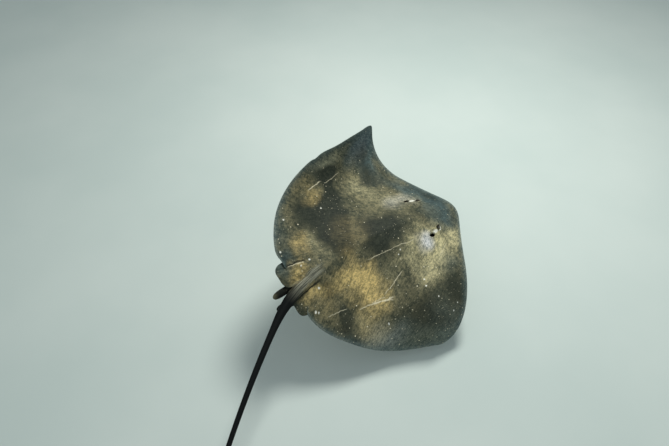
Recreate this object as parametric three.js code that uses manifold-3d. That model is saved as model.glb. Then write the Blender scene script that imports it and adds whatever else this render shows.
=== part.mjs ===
// Cowtail stingray, a life-size museum model held on a two-rod display stand.
// Millimetres, +Z up, the snout points along +Y, the animal's right side is +X.
// The origin is the centre of the underside of the stand's base.

import * as THREE from 'three';
import { mergeVertices } from 'three/addons/utils/BufferGeometryUtils.js';
import Module from 'manifold-3d';

const wasm = await Module();
wasm.setup();

// ---- Driving dimensions -------------------------------------------------------------------

const DISC_WIDTH = 1150; // wing tip to wing tip when the animal lies flat
const GAP = 0.3; // clearance between neighbouring pieces
const RIDE_HEIGHT = 336; // the middle of the disc above the floor
const DISC_SHIFT = new THREE.Vector2(24, 40); // the disc's middle from the stand's middle

// All lengths from here to the stand are fractions of the disc width, in the flat shape:
// x to the animal's right, y forward, z up, from the middle of the disc.

const SNOUT = { y: 0.4345, slope: 36.2, reach: 0.294, round: 0.03 };
const WING_TIP = { x: 0.5, y: 0.075, front: 0.0965, rear: 0.028 };
const REAR_LOBE = { x: 0.093, y: -0.396, slope: 6.3, reach: 0.189 };
const DISC_END = { y: -0.352, inner: 0.052 };
const SPINE = { front: 0.2, rear: -0.262 };

const EDGE_THICKNESS = 0.0018;
const WING_THICKNESS = { top: 0.021, belly: 0.011 };
const BACK_HEIGHT = 0.058;
const BELLY_DEPTH = 0.024;
const BODY_HALF_WIDTH = { front: 0.085, middle: 0.15, rear: 0.06 };

const EYE = { x: 0.0625, y: 0.2475, radius: 0.0105, bump: 0.0145, spread: 0.02 };
const SPIRACLE = { x: 0.0885, y: 0.205, length: 0.0165, width: 0.008, depth: 0.014, turn: 4 };
const MOUTH = { y: 0.262, width: 0.07, slot: 0.004, depth: 0.006 };
const GILLS = { count: 5, x: 0.096, lean: 0.026, front: 0.168, pitch: 0.031, length: 0.03 };
const GILL_SLOT = { width: 0.0032, depth: 0.005 };

const BODY_LINE = [ // half width of head and trunk between the pectoral fins
  [0.445, 0.02], [0.4, 0.06], [0.3, 0.122], [0.15, 0.146], [0, 0.138],
  [-0.15, 0.1], [-0.27, 0.064], [-0.34, 0.058], [-0.42, 0.062],
];
const NECK_Y = 0.145;

const PELVIC = { x: 0.044, y: -0.362, halfWidth: 0.044, halfLength: 0.062, thickness: 0.013, sink: 0.012 };
const CLASPER = { x: 0.021, front: -0.385, radius: 0.0118, sink: 0.024 };
const CLASPER_ENDS = { left: { rear: -0.472, splay: 0.002 }, right: { rear: -0.482, splay: -0.008 } };

const TAIL = { startY: -0.26, startZ: 0.008, length: 1.4, swing: 27.4, swingEnd: 0.298, curl: 14, drop: 5.6 };
const TAIL_HALF_WIDTH = [
  [0, 0.013], [0.08, 0.0185], [0.13, 0.021], [0.18, 0.0195], [0.23, 0.016], [0.3, 0.0123], [0.4, 0.0108],
  [0.55, 0.0092], [0.7, 0.008], [0.9, 0.0058], [1.15, 0.0036], [1.4, 0.0012],
];
const TAIL_FLATTENING = [[0, 0.9], [0.15, 0.74], [0.3, 0.86], [0.6, 1], [1.4, 1]];
const TAIL_CUTS = [0.4, 0.74];
const FOLD = { start: 0.77, end: 1.2, depth: 0.04, peak: 0.42, thickness: 0.0026 };
const STING = { at: 0.7, length: 0.1, width: 0.0072, thickness: 0.0028, lift: 5 };

// Posture: the banked right turn, angles in degrees.

const HINGE_X = 0.218; // each wing bends outside this line
const CHORD = 0.4;
const LEFT_WING = { bend: 85.3, bendRate: -44.8, sweep: 0.113 };
const RIGHT_WING = { bend: -70.9, bendRate: 49.7, sweep: -0.016 };
const AXIS_BEND = { startY: 0.05, turn: 21.5, twist: 75.3 };
const BODY_PITCH = -5.9;
const BODY_ROLL = 13.8;

// The stand, millimetres.

const BASE = { length: 520, width: 400, thickness: 10, corner: 56, chamfer: 2 };
const ROD = { radius: 8, seat: 4, embed: 24, frontY: 0.07, rearY: -0.14 }; // places in disc widths
const COLLAR = { radius: 17, height: 16, clearance: 0.05 };

// How finely the solids are faceted.

const RIBS = { front: 15, rear: 14, lobe: 4, across: 9 };
const TAIL_STATIONS = { root: 14, whip: 22, around: 10 };
const REGION_STATIONS = 24;

// ---- Small helpers ------------------------------------------------------------------------

const radians = THREE.MathUtils.degToRad;
const clamp = THREE.MathUtils.clamp;
const lerp = THREE.MathUtils.lerp;
const smooth = (value, from, to) => {
  const u = clamp((value - from) / (to - from), 0, 1);
  return u * u * (3 - 2 * u);
};

// A smooth value from a short list of [place, value] pairs, in either order of place.
function along(pairs, place) {
  const forward = pairs[0][0] < pairs[pairs.length - 1][0];
  const list = forward ? pairs : [...pairs].reverse();
  const last = list.length - 1;
  if (place <= list[0][0]) return list[0][1];
  if (place >= list[last][0]) return list[last][1];
  const i = list.findIndex(([p]) => p > place) - 1;
  const slope = (k) => {
    const a = list[Math.max(k - 1, 0)];
    const b = list[Math.min(k + 1, last)];
    return (b[1] - a[1]) / (b[0] - a[0]);
  };
  const [p0, v0] = list[i];
  const [p1, v1] = list[i + 1];
  const h = p1 - p0;
  const u = (place - p0) / h;
  const [u2, u3] = [u * u, u * u * u];
  return (2 * u3 - 3 * u2 + 1) * v0 + (u3 - 2 * u2 + u) * h * slope(i)
    + (3 * u2 - 2 * u3) * v1 + (u3 - u2) * h * slope(i + 1);
}

function closedSolid(points, triangles) {
  const geometry = new THREE.BufferGeometry();
  geometry.setAttribute('position', new THREE.Float32BufferAttribute(points.flatMap((p) => p.toArray()), 3));
  geometry.setIndex(triangles.flat());
  return solidFrom(geometry);
}

// Six times the volume under one triangle, by which a shell's facing is told.
function signedVolume(position, a, b, c) {
  const corner = (i) => new THREE.Vector3().fromBufferAttribute(position, i);
  return corner(a).dot(corner(b).cross(corner(c)));
}

// A merged, closed geometry as a solid, turned to face outwards.
function solidFrom(geometry) {
  geometry.deleteAttribute('normal');
  geometry.deleteAttribute('uv');
  const merged = mergeVertices(geometry, 1e-3);
  const { position } = merged.attributes;
  const index = merged.index.array;
  const triangles = [];
  let volume = 0;
  for (let i = 0; i < index.length; i += 3) {
    const [a, b, c] = [index[i], index[i + 1], index[i + 2]];
    if (a !== b && b !== c && c !== a) {
      triangles.push(a, b, c);
      volume += signedVolume(position, a, b, c);
    }
  }
  const mesh = new wasm.Mesh({
    numProp: 3,
    vertProperties: new Float32Array(position.array),
    triVerts: new Uint32Array(volume < 0 ? triangles.reverse() : triangles),
  });
  return new wasm.Manifold(mesh);
}

// A closed tube whose sections are rings of points, with flat ends.
function loft(rings) {
  const around = rings[0].length;
  const triangles = [];
  for (let i = 0; i + 1 < rings.length; i++) {
    for (let j = 0; j < around; j++) {
      const k = (j + 1) % around;
      const [a, b] = [i * around + j, i * around + k];
      const [c, d] = [a + around, b + around];
      triangles.push([a, b, d], [a, d, c]);
    }
  }
  const lastRing = (rings.length - 1) * around;
  for (let j = 1; j + 1 < around; j++) {
    triangles.push([0, j + 1, j], [lastRing, lastRing + j, lastRing + j + 1]);
  }
  return closedSolid(rings.flat(), triangles);
}

const cut = (solid, cutters) => cutters.reduce((left, cutter) => left.subtract(cutter), solid);

function largest(solid) {
  const pieces = solid.decompose();
  return pieces.reduce((best, piece) => (piece.volume() > best.volume() ? piece : best));
}

// ---- Posture ------------------------------------------------------------------------------

// The axis of the body curves to the animal's right behind AXIS_BEND.startY.
function axisHeading(y) {
  return radians(AXIS_BEND.turn) * Math.max(AXIS_BEND.startY - y, 0);
}

// From the flat shape to the swimming animal, still level, in disc widths.
function pose(x, y, z) {
  const side = x < 0 ? -1 : 1;
  const wing = x < 0 ? LEFT_WING : RIGHT_WING;
  const span = WING_TIP.x - HINGE_X;
  const out = Math.max(Math.abs(x) - HINGE_X, 0) / span;
  const bend = radians(wing.bend + wing.bendRate * (y - WING_TIP.y) / CHORD);
  const angle = bend * out;
  const reach = Math.min(Math.abs(x), HINGE_X) + span * Math.sin(angle) / bend - Math.sin(angle) * z;
  const height = span * (1 - Math.cos(angle)) / bend + Math.cos(angle) * z;
  const behind = Math.max(AXIS_BEND.startY - y, 0);
  const heading = axisHeading(y);
  const turn = radians(AXIS_BEND.turn);
  const across = side * reach;
  return new THREE.Vector3(
    (1 - Math.cos(heading)) / turn + across * Math.cos(heading),
    y + behind - Math.sin(heading) / turn + across * Math.sin(heading) + wing.sweep * out * out,
    height - Math.sin(radians(AXIS_BEND.twist) * behind) * across,
  );
}

const TILT = new THREE.Matrix4().makeRotationX(radians(BODY_PITCH))
  .multiply(new THREE.Matrix4().makeRotationY(radians(BODY_ROLL)));

// From the level animal, in disc widths, to its place over the stand, in millimetres.
function place(point) {
  const p = point.clone().applyMatrix4(TILT).multiplyScalar(DISC_WIDTH);
  return p.add(new THREE.Vector3(DISC_SHIFT.x, DISC_SHIFT.y, RIDE_HEIGHT));
}

const placed = (x, y, z) => place(pose(x, y, z));

// ---- The disc: head, trunk and pectoral fins ----------------------------------------------

const frontMargin = (() => {
  const drop = SNOUT.reach * Math.tan(radians(SNOUT.slope));
  return new THREE.CubicBezierCurve(
    new THREE.Vector2(0, SNOUT.y),
    new THREE.Vector2(SNOUT.reach, SNOUT.y - drop),
    new THREE.Vector2(WING_TIP.x, WING_TIP.y + WING_TIP.front),
    new THREE.Vector2(WING_TIP.x, WING_TIP.y),
  );
})();

const rearMargin = (() => {
  const slope = radians(REAR_LOBE.slope);
  return new THREE.CubicBezierCurve(
    new THREE.Vector2(WING_TIP.x, WING_TIP.y),
    new THREE.Vector2(WING_TIP.x, WING_TIP.y - WING_TIP.rear),
    new THREE.Vector2(REAR_LOBE.x + REAR_LOBE.reach * Math.cos(slope),
      REAR_LOBE.y + REAR_LOBE.reach * Math.sin(slope)),
    new THREE.Vector2(REAR_LOBE.x, REAR_LOBE.y),
  );
})();

const lobeMargin = new THREE.CubicBezierCurve(
  new THREE.Vector2(REAR_LOBE.x, REAR_LOBE.y),
  new THREE.Vector2(REAR_LOBE.x - 0.02, REAR_LOBE.y - 0.001),
  new THREE.Vector2(DISC_END.inner + 0.012, DISC_END.y - 0.01),
  new THREE.Vector2(0, DISC_END.y),
);

// The snout's apex is rounded off and the margin swells a little beside it.
function roundSnout(point) {
  const r = SNOUT.round;
  const tip = Math.tan(radians(SNOUT.slope)) * r * 0.5 * Math.exp(-point.x / (1.2 * r));
  const swell = 2 * r * Math.exp(-point.x / (3 * r));
  return new THREE.Vector2(Math.sqrt(point.x * (point.x + swell)), point.y - tip);
}

// The half margin as the outer ends of ribs that fan out from the spine; i may be fractional.
const LAST_RIB = RIBS.front + RIBS.rear + RIBS.lobe;
function ribEnd(i) {
  if (i < RIBS.front) return roundSnout(frontMargin.getPoint((i / RIBS.front) ** 1.35));
  const rear = i - RIBS.front;
  if (rear < RIBS.rear) return rearMargin.getPoint((rear / RIBS.rear) ** 1.1);
  return lobeMargin.getPoint(clamp((rear - RIBS.rear) / RIBS.lobe, 0, 1));
}

const ribRoot = (i) => lerp(SPINE.front, SPINE.rear, i / LAST_RIB);

const bodyHalfWidth = (y) => (y > 0
  ? lerp(BODY_HALF_WIDTH.middle, BODY_HALF_WIDTH.front, smooth(y, 0, 0.4))
  : lerp(BODY_HALF_WIDTH.middle, BODY_HALF_WIDTH.rear, smooth(-y, 0, 0.34)));

const backRidge = (y) => smooth(y, 0.46, 0.08) * lerp(1, 0.1, smooth(-y, -0.04, 0.36));
const bellyRidge = (y) => smooth(y, 0.44, 0.2) * lerp(1, 0.45, smooth(-y, 0.05, 0.34));

// Height of the back (face 1) or of the belly (face -1) at (x, y); r is 0 at the spine, 1 at the margin.
function surfaceZ(x, y, r, face) {
  const edge = 0.5 * EDGE_THICKNESS;
  const wing = (face > 0 ? WING_THICKNESS.top : WING_THICKNESS.belly) * (1 - r * r) ** 1.3;
  const section = Math.exp(-((x / bodyHalfWidth(y)) ** 2));
  const ridge = face > 0 ? BACK_HEIGHT * backRidge(y) : BELLY_DEPTH * bellyRidge(y);
  const body = ridge * section * (1 - r ** 5);
  const eyeDistance = ((Math.abs(x) - EYE.x) ** 2 + (y - EYE.y) ** 2) / EYE.spread ** 2;
  const eyeBump = face > 0 ? EYE.bump * Math.exp(-eyeDistance) : 0;
  return face * (edge + wing + body + eyeBump);
}

// The same height found from the place alone, by looking for the rib that passes through it.
function heightAt(x, y, face) {
  let [low, high] = [0, LAST_RIB];
  for (let step = 0; step < 40; step++) {
    const middle = (low + high) / 2;
    const end = ribEnd(middle);
    const r = Math.abs(x) / Math.max(end.x, 1e-6);
    const passesAhead = r > 1 || lerp(ribRoot(middle), end.y, r) > y;
    if (passesAhead) low = middle;
    else high = middle;
  }
  const end = ribEnd(low);
  const r = Math.abs(x) > 1e-6 ? Math.abs(x) / end.x : 0;
  return surfaceZ(x, y, Math.min(r, 1), face);
}

// The whole disc as one solid; swell thickens it all over, in disc widths.
function discSolid(swell) {
  const points = [];
  const triangles = [];
  const quad = (a, b, c, d) => triangles.push([a, b, c], [a, c, d]);
  const ribs = LAST_RIB + 1;
  const row = RIBS.across + 1;
  for (const side of [-1, 1]) {
    const start = points.length;
    for (const face of [-1, 1]) {
      for (let i = 0; i < ribs; i++) {
        const end = ribEnd(i);
        for (let j = 0; j < row; j++) {
          const r = 1 - (1 - j / RIBS.across) ** 1.25;
          const x = side * end.x * r;
          const y = lerp(ribRoot(i), end.y, r);
          points.push(placed(x, y, surfaceZ(x, y, r, face) + face * swell));
        }
      }
    }
    const back = ribs * row;
    for (let i = 0; i + 1 < ribs; i++) {
      for (let j = 0; j + 1 < row; j++) {
        const a = start + i * row + j;
        const b = a + row;
        const [under, over] = [[a, b, b + 1, a + 1], [a + back, a + back + 1, b + back + 1, b + back]];
        quad(...(side > 0 ? under : under.reverse()));
        quad(...(side > 0 ? over : over.reverse()));
      }
      const a = start + i * row + row - 1;
      const rim = [a, a + row, a + row + back, a + back];
      quad(...(side > 0 ? rim : rim.reverse()));
    }
  }
  return closedSolid(points, triangles);
}

// A block of the flat shape, carried into the posture, that picks one part out of the disc.
function region(innerX, outerX, fromY, toY, columns, halfHeight) {
  const rings = [];
  for (let i = 0; i <= REGION_STATIONS; i++) {
    const y = lerp(fromY, toY, i / REGION_STATIONS);
    const corner = (j, z) => placed(lerp(innerX(y), outerX(y), j / columns), y, z);
    const ring = [];
    for (let j = 0; j <= columns; j++) ring.push(corner(j, -halfHeight));
    for (let j = columns; j >= 0; j--) ring.push(corner(j, halfHeight));
    rings.push(ring);
  }
  return loft(rings);
}

const gap = GAP / DISC_WIDTH;
const bodyLine = (y) => along(BODY_LINE, y);
const disc = discSolid(0);
const swollenDisc = discSolid(gap);

// Head and trunk together, between the two fins; the side walls run along the body line.
const DISC_SPAN = [REAR_LOBE.y - 0.024, SNOUT.y + 0.01];
function bodyRegion() {
  const halfWidth = (y) => bodyLine(y) - gap / 2;
  return region((y) => -halfWidth(y), halfWidth, ...DISC_SPAN, 4, 0.12);
}

function wingRegion(side) {
  const inner = (y) => side * (bodyLine(y) + gap / 2);
  return region(inner, () => side * (WING_TIP.x + 0.02), ...DISC_SPAN, 12, 0.085);
}

// Everything near the middle line between two places along the body.
const slice = (fromY, toY) => region(() => -0.2, () => 0.2, fromY, toY, 2, 0.14);

// ---- The tail -----------------------------------------------------------------------------

// The tail's middle line: it leaves the body along the axis and swings to the right.
const tailLine = (() => {
  const steps = 280;
  const step = TAIL.length / steps;
  const startHeading = axisHeading(TAIL.startY);
  const drop = radians(TAIL.drop);
  const points = [pose(0, TAIL.startY, TAIL.startZ)];
  const heading = (s) => startHeading + radians(TAIL.swing) * smooth(s, 0, TAIL.swingEnd)
    + radians(TAIL.curl) * s;
  const direction = (s) => new THREE.Vector3(
    Math.sin(heading(s)) * Math.cos(drop),
    -Math.cos(heading(s)) * Math.cos(drop),
    -Math.sin(drop),
  );
  for (let i = 0; i < steps; i++) {
    points.push(points[i].clone().addScaledVector(direction((i + 0.5) * step), step));
  }
  const at = (s) => {
    const i = clamp(Math.floor(s / step), 0, steps - 1);
    return points[i].clone().lerp(points[i + 1], s / step - i);
  };
  return { at, direction };
})();

// Sideways and upward unit directions across the tail at s.
function tailFrame(s) {
  const forward = tailLine.direction(s);
  const across = new THREE.Vector3().crossVectors(new THREE.Vector3(0, 0, 1), forward).normalize();
  const up = new THREE.Vector3().crossVectors(forward, across);
  return { forward, across, up };
}

function tailPoint(s, across, up) {
  const frame = tailFrame(s);
  return place(tailLine.at(s).addScaledVector(frame.across, across).addScaledVector(frame.up, up));
}

function tailRing(s, swell) {
  const halfWidth = along(TAIL_HALF_WIDTH, s);
  const halfHeight = halfWidth * along(TAIL_FLATTENING, s);
  return Array.from({ length: TAIL_STATIONS.around }, (_, k) => {
    const angle = 2 * Math.PI * k / TAIL_STATIONS.around;
    return tailPoint(s, (halfWidth + swell) * Math.cos(angle), (halfHeight + swell) * Math.sin(angle));
  });
}

const tailStations = [
  ...Array.from({ length: TAIL_STATIONS.root }, (_, i) => 0.4 * i / TAIL_STATIONS.root),
  ...Array.from({ length: TAIL_STATIONS.whip + 1 }, (_, i) => lerp(0.4, TAIL.length, i / TAIL_STATIONS.whip)),
];

const tailSolid = (swell) => loft(tailStations.map((s) => tailRing(s, swell)));

// One length of the tail, cut square across at both ends.
function tailLength(from, to) {
  const reach = 0.06;
  const box = [from, lerp(from, to, 1 / 3), lerp(from, to, 2 / 3), to].map((s) => [
    tailPoint(s, -reach, -reach), tailPoint(s, reach, -reach),
    tailPoint(s, reach, reach), tailPoint(s, -reach, reach),
  ]);
  return loft(box);
}

// ---- Small pieces -------------------------------------------------------------------------

// A three.js shape whose points are flat-shape places, carried into the posture.
function carried(geometry, toFlat) {
  const { position } = geometry.attributes;
  const point = new THREE.Vector3();
  for (let i = 0; i < position.count; i++) {
    point.fromBufferAttribute(position, i);
    const flat = toFlat(point);
    position.setXYZ(i, ...placed(flat.x, flat.y, flat.z).toArray());
  }
  return solidFrom(geometry);
}

// A rounded paddle that lies under the rear edge of the disc beside the tail.
function pelvicFin(side) {
  const corner = 3.2;
  return carried(new THREE.SphereGeometry(1, 18, 6).rotateX(Math.PI / 2), (p) => {
    const flat = Math.hypot(p.x, p.y);
    const squareness = flat < 1e-6 ? 1
      : (Math.abs(p.x / flat) ** corner + Math.abs(p.y / flat) ** corner) ** (-1 / corner);
    return new THREE.Vector3(
      side * PELVIC.x + p.x * squareness * PELVIC.halfWidth,
      PELVIC.y + p.y * squareness * PELVIC.halfLength,
      p.z * PELVIC.thickness / 2 - PELVIC.sink,
    );
  });
}

function clasper(side, swell) {
  const { rear, splay } = side < 0 ? CLASPER_ENDS.left : CLASPER_ENDS.right;
  const length = CLASPER.front - rear - 2 * CLASPER.radius;
  const shape = new THREE.CapsuleGeometry(CLASPER.radius + swell, length, 4, 10);
  return carried(shape, (p) => new THREE.Vector3(
    side * (CLASPER.x - splay * p.y / length) + p.x,
    (CLASPER.front + rear) / 2 + p.y,
    p.z - CLASPER.sink,
  ));
}

// A ball at the middle of an eye, which stands half out of its socket.
function eyeball(side, swell) {
  const z = heightAt(EYE.x, EYE.y, 1) - EYE.radius * 0.42;
  const middle = placed(side * (EYE.x + EYE.radius * 0.3), EYE.y, z);
  const ball = new THREE.SphereGeometry(EYE.radius * DISC_WIDTH + swell, 14, 9);
  return solidFrom(ball.translate(middle.x, middle.y, middle.z));
}

// The spiracle is a slanting hole close behind the eye.
function spiracleHole(side) {
  const z = heightAt(SPIRACLE.x, SPIRACLE.y, 1);
  const turn = radians(SPIRACLE.turn);
  return carried(new THREE.SphereGeometry(1, 12, 6), (p) => {
    const [u, v] = [p.x * SPIRACLE.width, p.y * SPIRACLE.length];
    return new THREE.Vector3(
      side * (SPIRACLE.x + u * Math.cos(turn) + v * Math.sin(turn)),
      SPIRACLE.y + v * Math.cos(turn) - u * Math.sin(turn),
      z + p.z * SPIRACLE.depth,
    );
  });
}

// A straight slot cut into the belly: length along x, width along y, leaning outwards by lean.
function bellySlot(x, y, length, width, depth, lean) {
  const z = heightAt(Math.abs(x), y, -1);
  return carried(new THREE.BoxGeometry(length, width, 1), (p) => new THREE.Vector3(
    x + p.x,
    y + p.y - lean * p.x / length,
    z + (p.z > 0 ? depth : -0.02),
  ));
}

const mouthSlot = () => bellySlot(0, MOUTH.y, MOUTH.width, MOUTH.slot, MOUTH.depth, 0);

// Five slots on each side, closer to the middle line towards the tail.
function gillSlots(side) {
  return Array.from({ length: GILLS.count }, (_, i) => {
    const x = side * (GILLS.x - GILLS.lean * i / (GILLS.count - 1));
    const y = GILLS.front - GILLS.pitch * i;
    return bellySlot(x, y, GILLS.length, GILL_SLOT.width, GILL_SLOT.depth, side * GILLS.length * 0.25);
  });
}

// The skin fold under the tail, deepest in its front half.
function tailFold() {
  const stations = 18;
  const rings = Array.from({ length: stations + 1 }, (_, i) => {
    const u = i / stations;
    const s = lerp(FOLD.start, FOLD.end, u);
    const top = -along(TAIL_HALF_WIDTH, s) * along(TAIL_FLATTENING, s) - gap;
    const swell = u < FOLD.peak ? smooth(u, -0.02, FOLD.peak) : 1 - smooth(u, FOLD.peak, 1.03);
    const bottom = top - FOLD.depth * swell;
    const half = FOLD.thickness / 2;
    return [tailPoint(s, -half, top), tailPoint(s, half, top), tailPoint(s, half * 0.5, bottom),
      tailPoint(s, -half * 0.5, bottom)];
  });
  return loft(rings);
}

// The serrated spine, a flat blade that lies along the top of the tail with its point to the rear.
function stingBlade() {
  const stations = 8;
  const rings = Array.from({ length: stations + 1 }, (_, i) => {
    const u = i / stations;
    const s = STING.at + STING.length * u;
    const taper = Math.sqrt(1 - u ** 1.6) + 0.04;
    const [halfWidth, halfThickness] = [STING.width / 2 * taper, STING.thickness / 2 * taper];
    const rise = STING.length * u * Math.tan(radians(STING.lift));
    const up = along(TAIL_HALF_WIDTH, STING.at) + gap + STING.thickness / 2 + rise;
    return [tailPoint(s, -halfWidth, up), tailPoint(s, 0, up - halfThickness),
      tailPoint(s, halfWidth, up), tailPoint(s, 0, up + halfThickness)];
  });
  return loft(rings);
}

// ---- The stand ----------------------------------------------------------------------------

// Each rod stands under the belly on the animal's middle line.
const rods = { front: ROD.frontY, rear: ROD.rearY };
const rodFoot = (y) => placed(0, y, heightAt(0, y, -1));

function rodCylinder(y, radius, bottom, top) {
  const foot = rodFoot(y);
  const shape = new THREE.CylinderGeometry(radius, radius, top - bottom, 16).rotateX(Math.PI / 2);
  return solidFrom(shape.translate(foot.x, foot.y, (top + bottom) / 2));
}

const rodTop = (y) => rodFoot(y).z + ROD.embed;
const rodSolid = (y) => rodCylinder(y, ROD.radius, ROD.seat + GAP, rodTop(y));
const rodSocket = (y) => rodCylinder(y, ROD.radius + GAP, ROD.seat, rodTop(y) + GAP);

function baseSolid() {
  const [halfWidth, halfLength] = [BASE.width / 2 - BASE.chamfer, BASE.length / 2 - BASE.chamfer];
  const r = BASE.corner - BASE.chamfer;
  const outline = new THREE.Shape();
  outline.absarc(halfWidth - r, halfLength - r, r, 0, Math.PI / 2);
  outline.absarc(r - halfWidth, halfLength - r, r, Math.PI / 2, Math.PI);
  outline.absarc(r - halfWidth, r - halfLength, r, Math.PI, 1.5 * Math.PI);
  outline.absarc(halfWidth - r, r - halfLength, r, 1.5 * Math.PI, 2 * Math.PI);
  const plate = new THREE.ExtrudeGeometry(outline, {
    depth: BASE.thickness - 2 * BASE.chamfer,
    bevelThickness: BASE.chamfer,
    bevelSize: BASE.chamfer,
    bevelSegments: 1,
    curveSegments: 5,
  });
  const base = solidFrom(plate.translate(0, 0, BASE.chamfer));
  return cut(base, Object.values(rods).map(rodSocket));
}

// A ring around the foot of a rod, on top of the base.
function collarSolid(y) {
  const bottom = BASE.thickness + COLLAR.clearance;
  return rodCylinder(y, COLLAR.radius, bottom, BASE.thickness + COLLAR.height).subtract(rodSocket(y));
}

// ---- Putting it together ------------------------------------------------------------------

const skinGrey = { color: '#5d5a48', roughness: 0.55 };
const tailBlack = { color: '#1b1b1d', roughness: 0.5 };
const eyeBlack = { color: '#0c0d0c', roughness: 0.12 };
const bone = { color: '#cfc6ae', roughness: 0.5 };
const steel = { color: '#b9bcc0', roughness: 0.35, metalness: 1 };

const group = new THREE.Group();
function addNode(name, solid, finish) {
  const { vertProperties, triVerts } = solid.getMesh();
  const geometry = new THREE.BufferGeometry();
  geometry.setAttribute('position', new THREE.BufferAttribute(vertProperties, 3));
  geometry.setIndex(new THREE.BufferAttribute(triVerts, 1));
  const mesh = new THREE.Mesh(geometry, new THREE.MeshStandardMaterial(finish));
  mesh.name = name;
  group.add(mesh);
}

const sides = { left: -1, right: 1 };
const swollenTail = tailSolid(gap);

const headCutters = Object.values(sides).flatMap((side) => [
  eyeball(side, GAP), spiracleHole(side), ...gillSlots(side).slice(0, 1),
]);
const body = disc.intersect(bodyRegion());
const head = body.intersect(slice(NECK_Y + gap / 2, SNOUT.y + 0.02));
addNode('head', largest(cut(head, [...headCutters, mouthSlot()])), skinGrey);

const trunkCutters = [
  swollenTail,
  ...Object.values(rods).map(rodSocket),
  ...Object.values(sides).flatMap((side) => gillSlots(side).slice(1)),
];
const trunk = body.intersect(slice(REAR_LOBE.y - 0.04, NECK_Y - gap / 2));
addNode('trunk', largest(cut(trunk, trunkCutters)), skinGrey);

for (const [name, side] of Object.entries(sides)) {
  addNode(`eye_${name}`, eyeball(side, 0), eyeBlack);
  addNode(`pectoral_fin_${name}`, largest(disc.intersect(wingRegion(side))), skinGrey);
  const otherFin = region(() => -side * gap / 2, () => -side * 0.12, -0.5, -0.25, 2, 0.1);
  const pelvicCutters = [swollenDisc, swollenTail, clasper(side, gap), otherFin];
  addNode(`pelvic_fin_${name}`, largest(cut(pelvicFin(side), pelvicCutters)), skinGrey);
  addNode(`clasper_${name}`, largest(cut(clasper(side, 0), [swollenDisc, swollenTail, otherFin])), tailBlack);
}

const tail = tailSolid(0);
const [baseEnd, middleEnd] = TAIL_CUTS;
addNode('tail_base', tail.intersect(tailLength(-0.02, baseEnd - gap / 2)), tailBlack);
addNode('tail_middle', tail.intersect(tailLength(baseEnd + gap / 2, middleEnd - gap / 2)), tailBlack);
addNode('tail_end', tail.intersect(tailLength(middleEnd + gap / 2, TAIL.length + 0.01)), tailBlack);
addNode('tail_fold', tailFold(), tailBlack);
addNode('sting', stingBlade(), bone);

addNode('stand_base', baseSolid(), steel);
for (const [name, y] of Object.entries(rods)) {
  addNode(`stand_rod_${name}`, rodSolid(y), steel);
  addNode(`stand_collar_${name}`, collarSolid(y), steel);
}

export default group;
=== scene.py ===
"""Cowtail stingray on a two-rod display stand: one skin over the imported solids, its eyes, sting and markings.

Everything about the animal is first placed on the flat shape, in disc widths: x to its right, y forward
and z up from the middle of the disc. pose() bends that shape into the banked turn, and place() puts it
over the stand.
"""

import bisect
from math import atan2, cos, degrees, exp, hypot, pi, radians, sin, sqrt, tan
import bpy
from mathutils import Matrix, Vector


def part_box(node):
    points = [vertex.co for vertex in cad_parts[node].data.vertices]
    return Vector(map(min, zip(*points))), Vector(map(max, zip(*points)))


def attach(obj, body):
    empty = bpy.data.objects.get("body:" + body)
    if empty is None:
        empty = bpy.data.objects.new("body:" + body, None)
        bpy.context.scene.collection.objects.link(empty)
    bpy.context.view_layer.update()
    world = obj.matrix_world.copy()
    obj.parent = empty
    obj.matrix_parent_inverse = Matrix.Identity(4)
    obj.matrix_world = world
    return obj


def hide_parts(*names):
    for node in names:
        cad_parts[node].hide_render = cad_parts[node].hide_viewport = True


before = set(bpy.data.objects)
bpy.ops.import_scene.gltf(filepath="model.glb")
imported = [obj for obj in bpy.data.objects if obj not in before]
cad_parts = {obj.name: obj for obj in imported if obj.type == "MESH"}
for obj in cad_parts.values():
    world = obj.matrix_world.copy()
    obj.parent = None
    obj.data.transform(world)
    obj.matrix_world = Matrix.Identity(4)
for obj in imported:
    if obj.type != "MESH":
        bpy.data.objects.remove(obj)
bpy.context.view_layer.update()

from types import SimpleNamespace as Sizes

import bmesh
import bpy
import numpy
from mathutils import Matrix, Vector, kdtree, noise
from mathutils.geometry import interpolate_bezier

# ---- Driving dimensions, in metres and disc widths

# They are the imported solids' own, but the skin sets the spiracles, pelvic fins, claspers and tail root
# a little closer to life. Where a value goes by side, 1 is the right and -1 the left; by face, 1 is the
# back and -1 the belly. A pair of places is where something starts and where it is complete.

DISC_WIDTH = 1.15
RIDE_HEIGHT = 0.336
DISC_SHIFT = (0.024, 0.040)

SNOUT = Sizes(y=0.4345, slope=36.2, reach=0.294, round=0.03)
WING_TIP = Sizes(x=0.5, y=0.075, front=0.0965, rear=0.028)
REAR_LOBE = Sizes(x=0.093, y=-0.396, slope=6.3, reach=0.189)
DISC_END = Sizes(y=-0.352, inner=0.052)
NOTCH_HANDLES = Sizes(lobe=(-0.02, -0.001), end=(0.012, -0.01))
SPINE = Sizes(front=0.2, rear=-0.262)
CURLED_EDGE = [  # x, y, how far that part of the left edge is drawn along x and y, spread
    (-0.462, -0.035, 0.017, 0, 0.062), (-0.392, -0.118, 0.007, 0, 0.014),
    (-0.096, -0.398, 0.008, 0.014, 0.021), (-0.5, 0.05, -0.006, 0, 0.017),
]

EDGE_THICKNESS = 0.0018
WING_THICKNESS = {1: 0.021, -1: 0.011}
WING_TAPER = 1.3  # a power
BODY_FADE = 5  # a power
BODY_RIDGE = {
    1: Sizes(height=0.058, front=(0.46, 0.08), rear=(-0.04, 0.36), rear_share=0.1),
    -1: Sizes(height=0.024, front=(0.44, 0.2), rear=(0.05, 0.34), rear_share=0.45),
}
BODY_HALF_WIDTH = {"front": 0.085, "middle": 0.15, "rear": 0.06}
BODY_REACH = {"front": 0.4, "rear": 0.34}

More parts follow.
